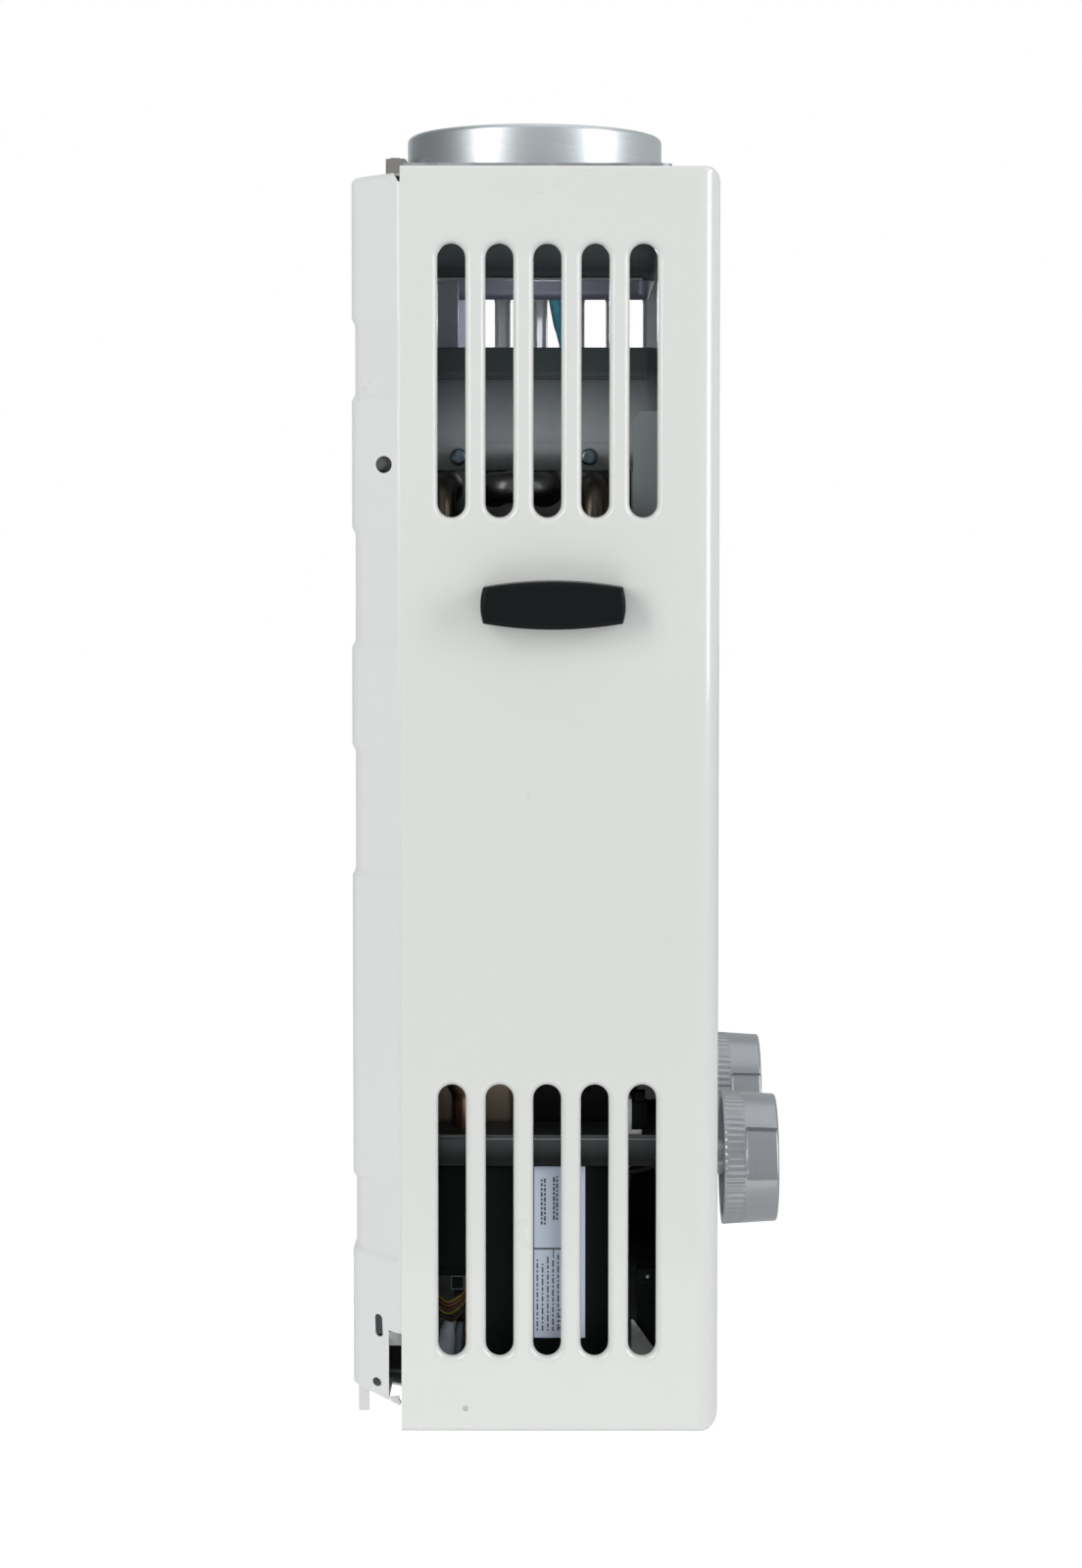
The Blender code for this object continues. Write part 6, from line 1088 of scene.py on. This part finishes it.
def make_shelf_lip():
    """The folded lip along each side of the burner shelf, painted dark and darker downwards as shade, with
    a thin hem along its outer corner whose lighter colour is a painted highlight.
    """
    bm = bmesh.new()
    lip = [(121.6, 125.2), (149.6, 125.2), (150.6, 125), (150.9, 124.5), (150.9, 113.2), (150.1, 113.2),
           (150.1, 124), (149.6, 124.4), (121.6, 124.4)]
    for side in SIDES:
        rings_into(bm, [[at(side * x, forward, up) for x, up in lip] for forward in (8, 112)])
    add("shelf_flanges", bm, SHADED_FLANGE_STEEL, "galvanised")
    # The hems' lighter colour is a painted highlight of the lip's bend.
    for side, side_name in SIDE_NAMES:
        hem = [at(side * 150.3, forward, 125) for forward in (28, 112)]
        pipe("shelf_hem_" + side_name, hem, 0.4, HEM_HIGHLIGHT_STEEL, "galvanised")


def make_lid_ribs():
    spans = [((92, 96 + 5 * i, -1.5), (142, 98 + 5 * i, -0.5)) for i in range(4)]
    boxes("lid_ribs", spans, MATT_BLACK, "black", 0.3, body="battery_door")


def make_lead_plugs():
    """The two plugs on the burner shelf: a pale body in front of a black housing."""
    for side, side_name, f in ((-1, "left", 102), (1, "right", 50)):
        name = "lead_plug_" + side_name
        body = [((side * 136, f - 3.2, 127.4), (side * 144, f - 1.5, 141.2)),
                ((side * 136, f - 3.2, 123.3), (side * 144, f + 3, 127.4))]
        boxes(name + "_body", body, PALE, "white_plastic", nodes=name)
        housing = [((side * 136.3, f - 1.6, 127.2), (side * 143.7, f + 5.4, 139.6)),
                   ((side * 137.2, f - 0.6, 139.2), (side * 142.8, f + 4.4, 144)),
                   ((side * 136.9, f + 1.6, 125), (side * 143.1, f + 2.6, 127.6))]
        boxes(name + "_housing", housing, MATT_BLACK, "black", 0.5)


# Control box

LABEL_FACE = -147.2


def make_control_box():
    """The box with its lid seam and two feet, its plain label, and the wing behind it."""
    case = [((-147, 34, 18.1), (-109, 91.5, 112.2)), ((-146.4, 34.6, 112), (-109.6, 90.9, 114.5)),
            ((-147.6, 34, 24), (-145, 37, 30)), ((-147.6, 88.5, 24), (-145, 91.5, 30))]
    boxes("control_case", case, MATT_BLACK, "black", 0.9, 3, nodes="control_box")
    label = ((-147.25, 57.3, 35.3), (-146.9, 79.9, 111.9))
    boxes("box_label", [label], LABEL, "white_plastic", 0.1, 1)
    boxes("label_marks", mark_spans(), PRINT, "black", 0)
    wing = [((-146.6, 12.5, 66), (-137.5, 34.4, 112)), ((-146.6, 27, 44), (-137.5, 34.4, 66.4)),
            ((-145.8, 12.5, 62.5), (-138.4, 27.4, 66.4))]
    boxes("box_wing", wing, MATT_BLACK, "black", 0.8, 3)


def dashes(low, high, lengths, gap, index):
    """The lower and upper ends of short blocks in a line up the label."""
    while low < high:
        length = lengths[index % len(lengths)]
        yield low, low + length
        low += length + gap
        index += 1


def mark_spans():
    """Plain blocks where a label would carry its print."""
    face = LABEL_FACE - 0.16
    for row, (f, first, last) in enumerate(((60.2, 86, 106.5), (61.6, 86, 106.5), (65.6, 88, 107.5),
                                            (67, 88, 107.5))):
        for low, high in dashes(first, last, (1.5, 0.9, 2.1, 1.2), 0.7, row):
            yield (face, f, low), (LABEL_FACE, f + 0.9, min(high, last))
    for row in range(5):
        f = 58.4 + 2.3 * row
        for low, high in dashes(38.5, 71 - 3 * (row % 2), (1.1, 2.4, 0.8, 1.7, 3), 0.8, row):
            yield (face + 0.02, f, low), (LABEL_FACE, f + 0.7, high)
    lines = [(57.3, 74.8, 72.5, 75.6), (65.6, 71.2, 66.1, 75)]
    for up in (39.5, 44.5):
        lines += [(69.6, up, 70.2, up + 3.6), (67.6, up, 69.8, up + 0.6), (67.6, up + 3, 69.8, up + 3.6)]
    for back, low, front, high in lines:
        yield (face, back, low), (LABEL_FACE, front, high)


# Small pieces that show through the left side's slots


def make_rear_connector():
    """A connector with a thin frame, and the small wires that curl forward and down from it."""
    connector = [((-146, 20.6, 57), (-140, 26.2, 62.3)), ((-144.6, 21.6, 52.6), (-141, 25.4, 57.4))]
    boxes("rear_connector", connector, MATT_BLACK, "black")
    bars = ((20.4, 20.9, 56.6, 62.6), (25.9, 26.4, 56.6, 62.6), (20.4, 26.4, 62.2, 62.7),
            (20.4, 26.4, 56.5, 57))
    frame_spans = [((-146.3, back, low), (-145.9, front, high)) for back, front, low, high in bars]
    boxes("connector_frame", frame_spans, SHADED_FRAME_PLASTIC, "black", 0.1, 1)
    for i, colour in enumerate((SHADED_YELLOW, SHADED_ORANGE, SHADED_BROWN, SHADED_YELLOW, DARK_LEAD, SHADED_BROWN)):
        drop = 1.9 * i
        route = [(-143.6 + 0.5 * i, 27.5, 55.5 - drop * 0.7), (-144.4 + 0.6 * i, 23.5, 52.6 - drop),
                 (-143.6 + 0.6 * i, 19, 50.2 - drop), (-139.5, 14.6, 52 - drop), (-132, 12, 56 - drop),
                 (-122, 11, 60 - drop)]
        wire("harness_%d" % i, route, 0.6, colour, "lead_sleeve", 36)


def make_grommet():
    body = [(-143.5, 18.4, 25.5), (-143.5, 18.5, 31), (-143.3, 18.8, 37), (-142.6, 19.4, 41)]
    tapered_tube("grommet_body", body, (3.2, 3.5, 3.3, 2.1), GREY_PLASTIC, "white_plastic", 28)
    tail = [(-141.5, 22.9, 25.5), (-141.4, 23.1, 31), (-141, 23.6, 36), (-140.2, 24.5, 40)]
    tapered_tube("grommet_tail", tail, (2.3, 2.3, 2, 1.5), BLUE_LEAD, "lead_sleeve")


def make_corner_parts():
    """The gusset in the lower front corner, the terminal block behind it and a clip on the burner shelf."""
    gusset = [(100.4, 5.4), (112.5, 5.4), (112.5, 26), (109.6, 29.6), (101.4, 41.2), (100.4, 41.2)]
    bm = shape(plate_into, gusset, -140.8, -139.8)
    box_into(bm, (-140.6, 101, 5.1), (-131, 112, 6), 0.2, 1)
    add("corner_gusset", bm, STEEL, "galvanised")
    ridges = [((-138.6, 103.4, 46 + 2.2 * i), (-137.8, 111.6, 47 + 2.2 * i)) for i in range(5)]
    block = ((-138, 103, 5.2), (-130, 112, 63))
    boxes("terminal_block", [block, *ridges], MATT_BLACK, "black", 0.3)
    head = [(0, 1), (0.8, 0.9), (1.2, 0.3), (1.2, -0.4), (0, -0.4)]
    lathe("terminal_screw", head, [(at(-138, 107.8, 60), (-1, 0, 0))], SCREW_STEEL, "steel", 24)
    boxes("shelf_clip", [((-147, 86.4, 122.4), (-144.6, 89, 125.4))], PALE, "white_plastic", 0.3)


# Leads and the sensor's sleeve


def make_leads():
    sleeve = [(80, 62.6, 512.5), (82, 63.2, 506), (84.5, 64.2, 498), (87, 65.2, 490), (89.5, 65.9, 483)]
    tapered_tube("sensor_sleeve", sleeve, (2.4, 2.9, 2.4, 1.6, 0.9), TEAL, "teal_sleeve", 24, 0.16)
    teal = [(78.6, 60, 513.3), (88.6, 60, 513.3), (112, 63, 497), (123, 66, 484), (134, 60, 462),
            (140, 50, 432), (140, 50, 290), (140, 50, 160), (140, 50, 141.6)]
    wire("teal_lead", teal, 1.7, TEAL, "teal_sleeve", 90, nodes="thermostat_lead")
    spark = [(-128, 88.3, 104), (-128, 98, 104), (-122, 119, 110), (-104, 128, 129), (-60, 128, 144),
             (-20, 125, 168.2), (-20, 115.8, 168.2)]
    wire("spark_lead", spark, 1.6, DARK_LEAD, "lead_sleeve", 60, nodes="ignition_lead")


# Camera

PHOTO_WIDTH, PHOTO_HEIGHT = 1104, 1600
FOCAL_PIXELS = 2565.56
CENTRE_PIXEL_X, CENTRE_PIXEL_Y = 606.07, 559.63
SENSOR = 36
CAMERA_PLACE = (-1.247345, -0.1065548, -0.091644)
CAMERA_PITCH, CAMERA_ROLL = 0.0357, 0.0011


def make_camera(scene):
    cam = new_object("camera", bpy.data.cameras.new("camera"))
    scene.camera = cam
    settle(cam.data, sensor_width=SENSOR, lens=FOCAL_PIXELS / PHOTO_HEIGHT * SENSOR,
           shift_x=(PHOTO_WIDTH / 2 - CENTRE_PIXEL_X) / PHOTO_HEIGHT,
           shift_y=(CENTRE_PIXEL_Y - PHOTO_HEIGHT / 2) / PHOTO_HEIGHT, clip_start=0.05, clip_end=60)
    look = Vector((math.cos(CAMERA_PITCH), 0, -math.sin(CAMERA_PITCH)))
    right = Vector((0, -1, 0))
    up = right.cross(look)
    turn = Matrix((right, up, -look)).transposed().to_4x4()
    cam.matrix_world = Matrix.Translation(CAMERA_PLACE) @ turn @ Matrix.Rotation(CAMERA_ROLL, 4, "Z")


# Light

COOL_WHITE = (0.97, 0.99, 1, 1)
MIDDLE = Vector((0, -0.09, -0.25))


def make_world(scene):
    """White where the camera sees it, and a softer studio round the object, brighter in front for gloss."""
    world = bpy.data.worlds.new("studio")
    scene.world = world
    world.use_nodes = True
    tree = world.node_tree
    tree.nodes.clear()
    rays = make_node(tree, "LightPath").outputs
    seen = calculate(tree, "MAXIMUM", rays["Is Camera Ray"], rays["Is Transmission Ray"])
    heading = make_node(tree, "SeparateXYZ", Vector=make_node(tree, "TexCoord").outputs["Generated"])
    gloss = remap(tree, heading.outputs["Y"], 0.62, 0.22, 0.1, 0.85)
    ambient = make_node(tree, "Background", Color=COOL_WHITE, Strength=0.42)
    glossy = make_node(tree, "Background", Color=COOL_WHITE, Strength=gloss)
    white = make_node(tree, "Background", Color=(1, 1, 1, 1))
    lighting = mix_shaders(tree, rays["Is Glossy Ray"], ambient, glossy)
    make_node(tree, "OutputWorld", Surface=mix_shaders(tree, seen, lighting, white))


def around(angle, distance, up):
    """A place round the heater, with the angle from the camera's side towards the back."""
    turn = math.radians(angle)
    return MIDDLE + Vector((-math.cos(turn) * distance, math.sin(turn) * distance, up))


def add_lamp(name, place, width, height, radiance, colour=(1, 1, 1)):
    """A soft box that faces the heater's middle."""
    data = settle(bpy.data.lights.new(name, "AREA"), shape="RECTANGLE", size=width, size_y=height,
                  color=colour, energy=radiance * width * height * PI)
    turn = (place - MIDDLE).to_track_quat("Z", "Y").to_euler()
    settle(new_object(name, data), location=place, rotation_euler=turn)


def add_gap_fill():
    """The light that white surroundings leave in the gap of the draught hood."""
    data = bpy.data.lights.new("gap_fill", "POINT")
    settle(data, energy=0.13, shadow_soft_size=0.015, color=(0.88, 0.88, 1))
    settle(new_object("gap_fill", data), location=at(0, FLUE_FORWARD, 497), visible_camera=False)


def make_lights():
    add_lamp("box_rear", around(42, 2, 0.75), 0.7, 1.6, 5, (1, 0.99, 0.96))
    add_lamp("box_front", around(-61, 2, 0.62), 0.7, 1.6, 5)
    add_lamp("box_low", around(-4, 0.85, -0.57), 0.6, 0.3, 0.65)
    add_lamp("box_top", MIDDLE + Vector((0.1, -0.2, 2.2)), 2.4, 2.4, 0.5)
    add_lamp("box_far", around(165, 2.4, 0.6), 1.2, 1.4, 0.8)
    add_gap_fill()


# Floor

FLOOR_HALF = 9
FLOOR_Z = -0.95


def make_floor():
    """A pale floor that the camera sees as nearly white, with the object's shadow kept."""
    mesh = bpy.data.meshes.new("floor")
    corners = [(x * FLOOR_HALF, y * FLOOR_HALF, FLOOR_Z) for x, y in ((-1, -1), (1, -1), (1, 1), (-1, 1))]
    mesh.from_pydata(corners, [], [(0, 1, 2, 3)])
    surface = bpy.data.materials.new("floor")
    surface.use_nodes = True
    tree = surface.node_tree
    bsdf = tree.nodes["Principled BSDF"]
    feed(tree, bsdf, {"Base Color": (0.86, 0.86, 0.86, 1), "Roughness": 0.8})
    share = calculate(tree, "MULTIPLY", make_node(tree, "LightPath").outputs["Is Camera Ray"], 0.8)
    blend = mix_shaders(tree, share, bsdf, make_node(tree, "Emission", Strength=1.18))
    feed(tree, tree.nodes["Material Output"], {"Surface": blend})
    mesh.materials.append(surface)
    new_object("floor", mesh)


dress_carried_over()
make_cover()
make_pan()
make_collar()
make_hanger_parts()
make_knob("knob_gas", -1, "gas_knob", "gas_control", 0.32)
make_knob("knob_water", 1, "water_knob", "water_control", 0.13)
for side, side_name in SIDE_NAMES:
    make_pull(side, side_name)
make_bell()
make_cone()
make_beads()
make_screws()
make_exchanger()
make_bends()
make_coil()
make_hot_pipe()
make_unions()
make_chamber_rivets()
make_shelf_lip()
make_lid_ribs()
make_lead_plugs()
make_control_box()
make_rear_connector()
make_grommet()
make_corner_parts()
make_leads()
bpy.context.scene.view_settings.view_transform = "Standard"
make_camera(bpy.context.scene)
make_world(bpy.context.scene)
make_lights()
make_floor()
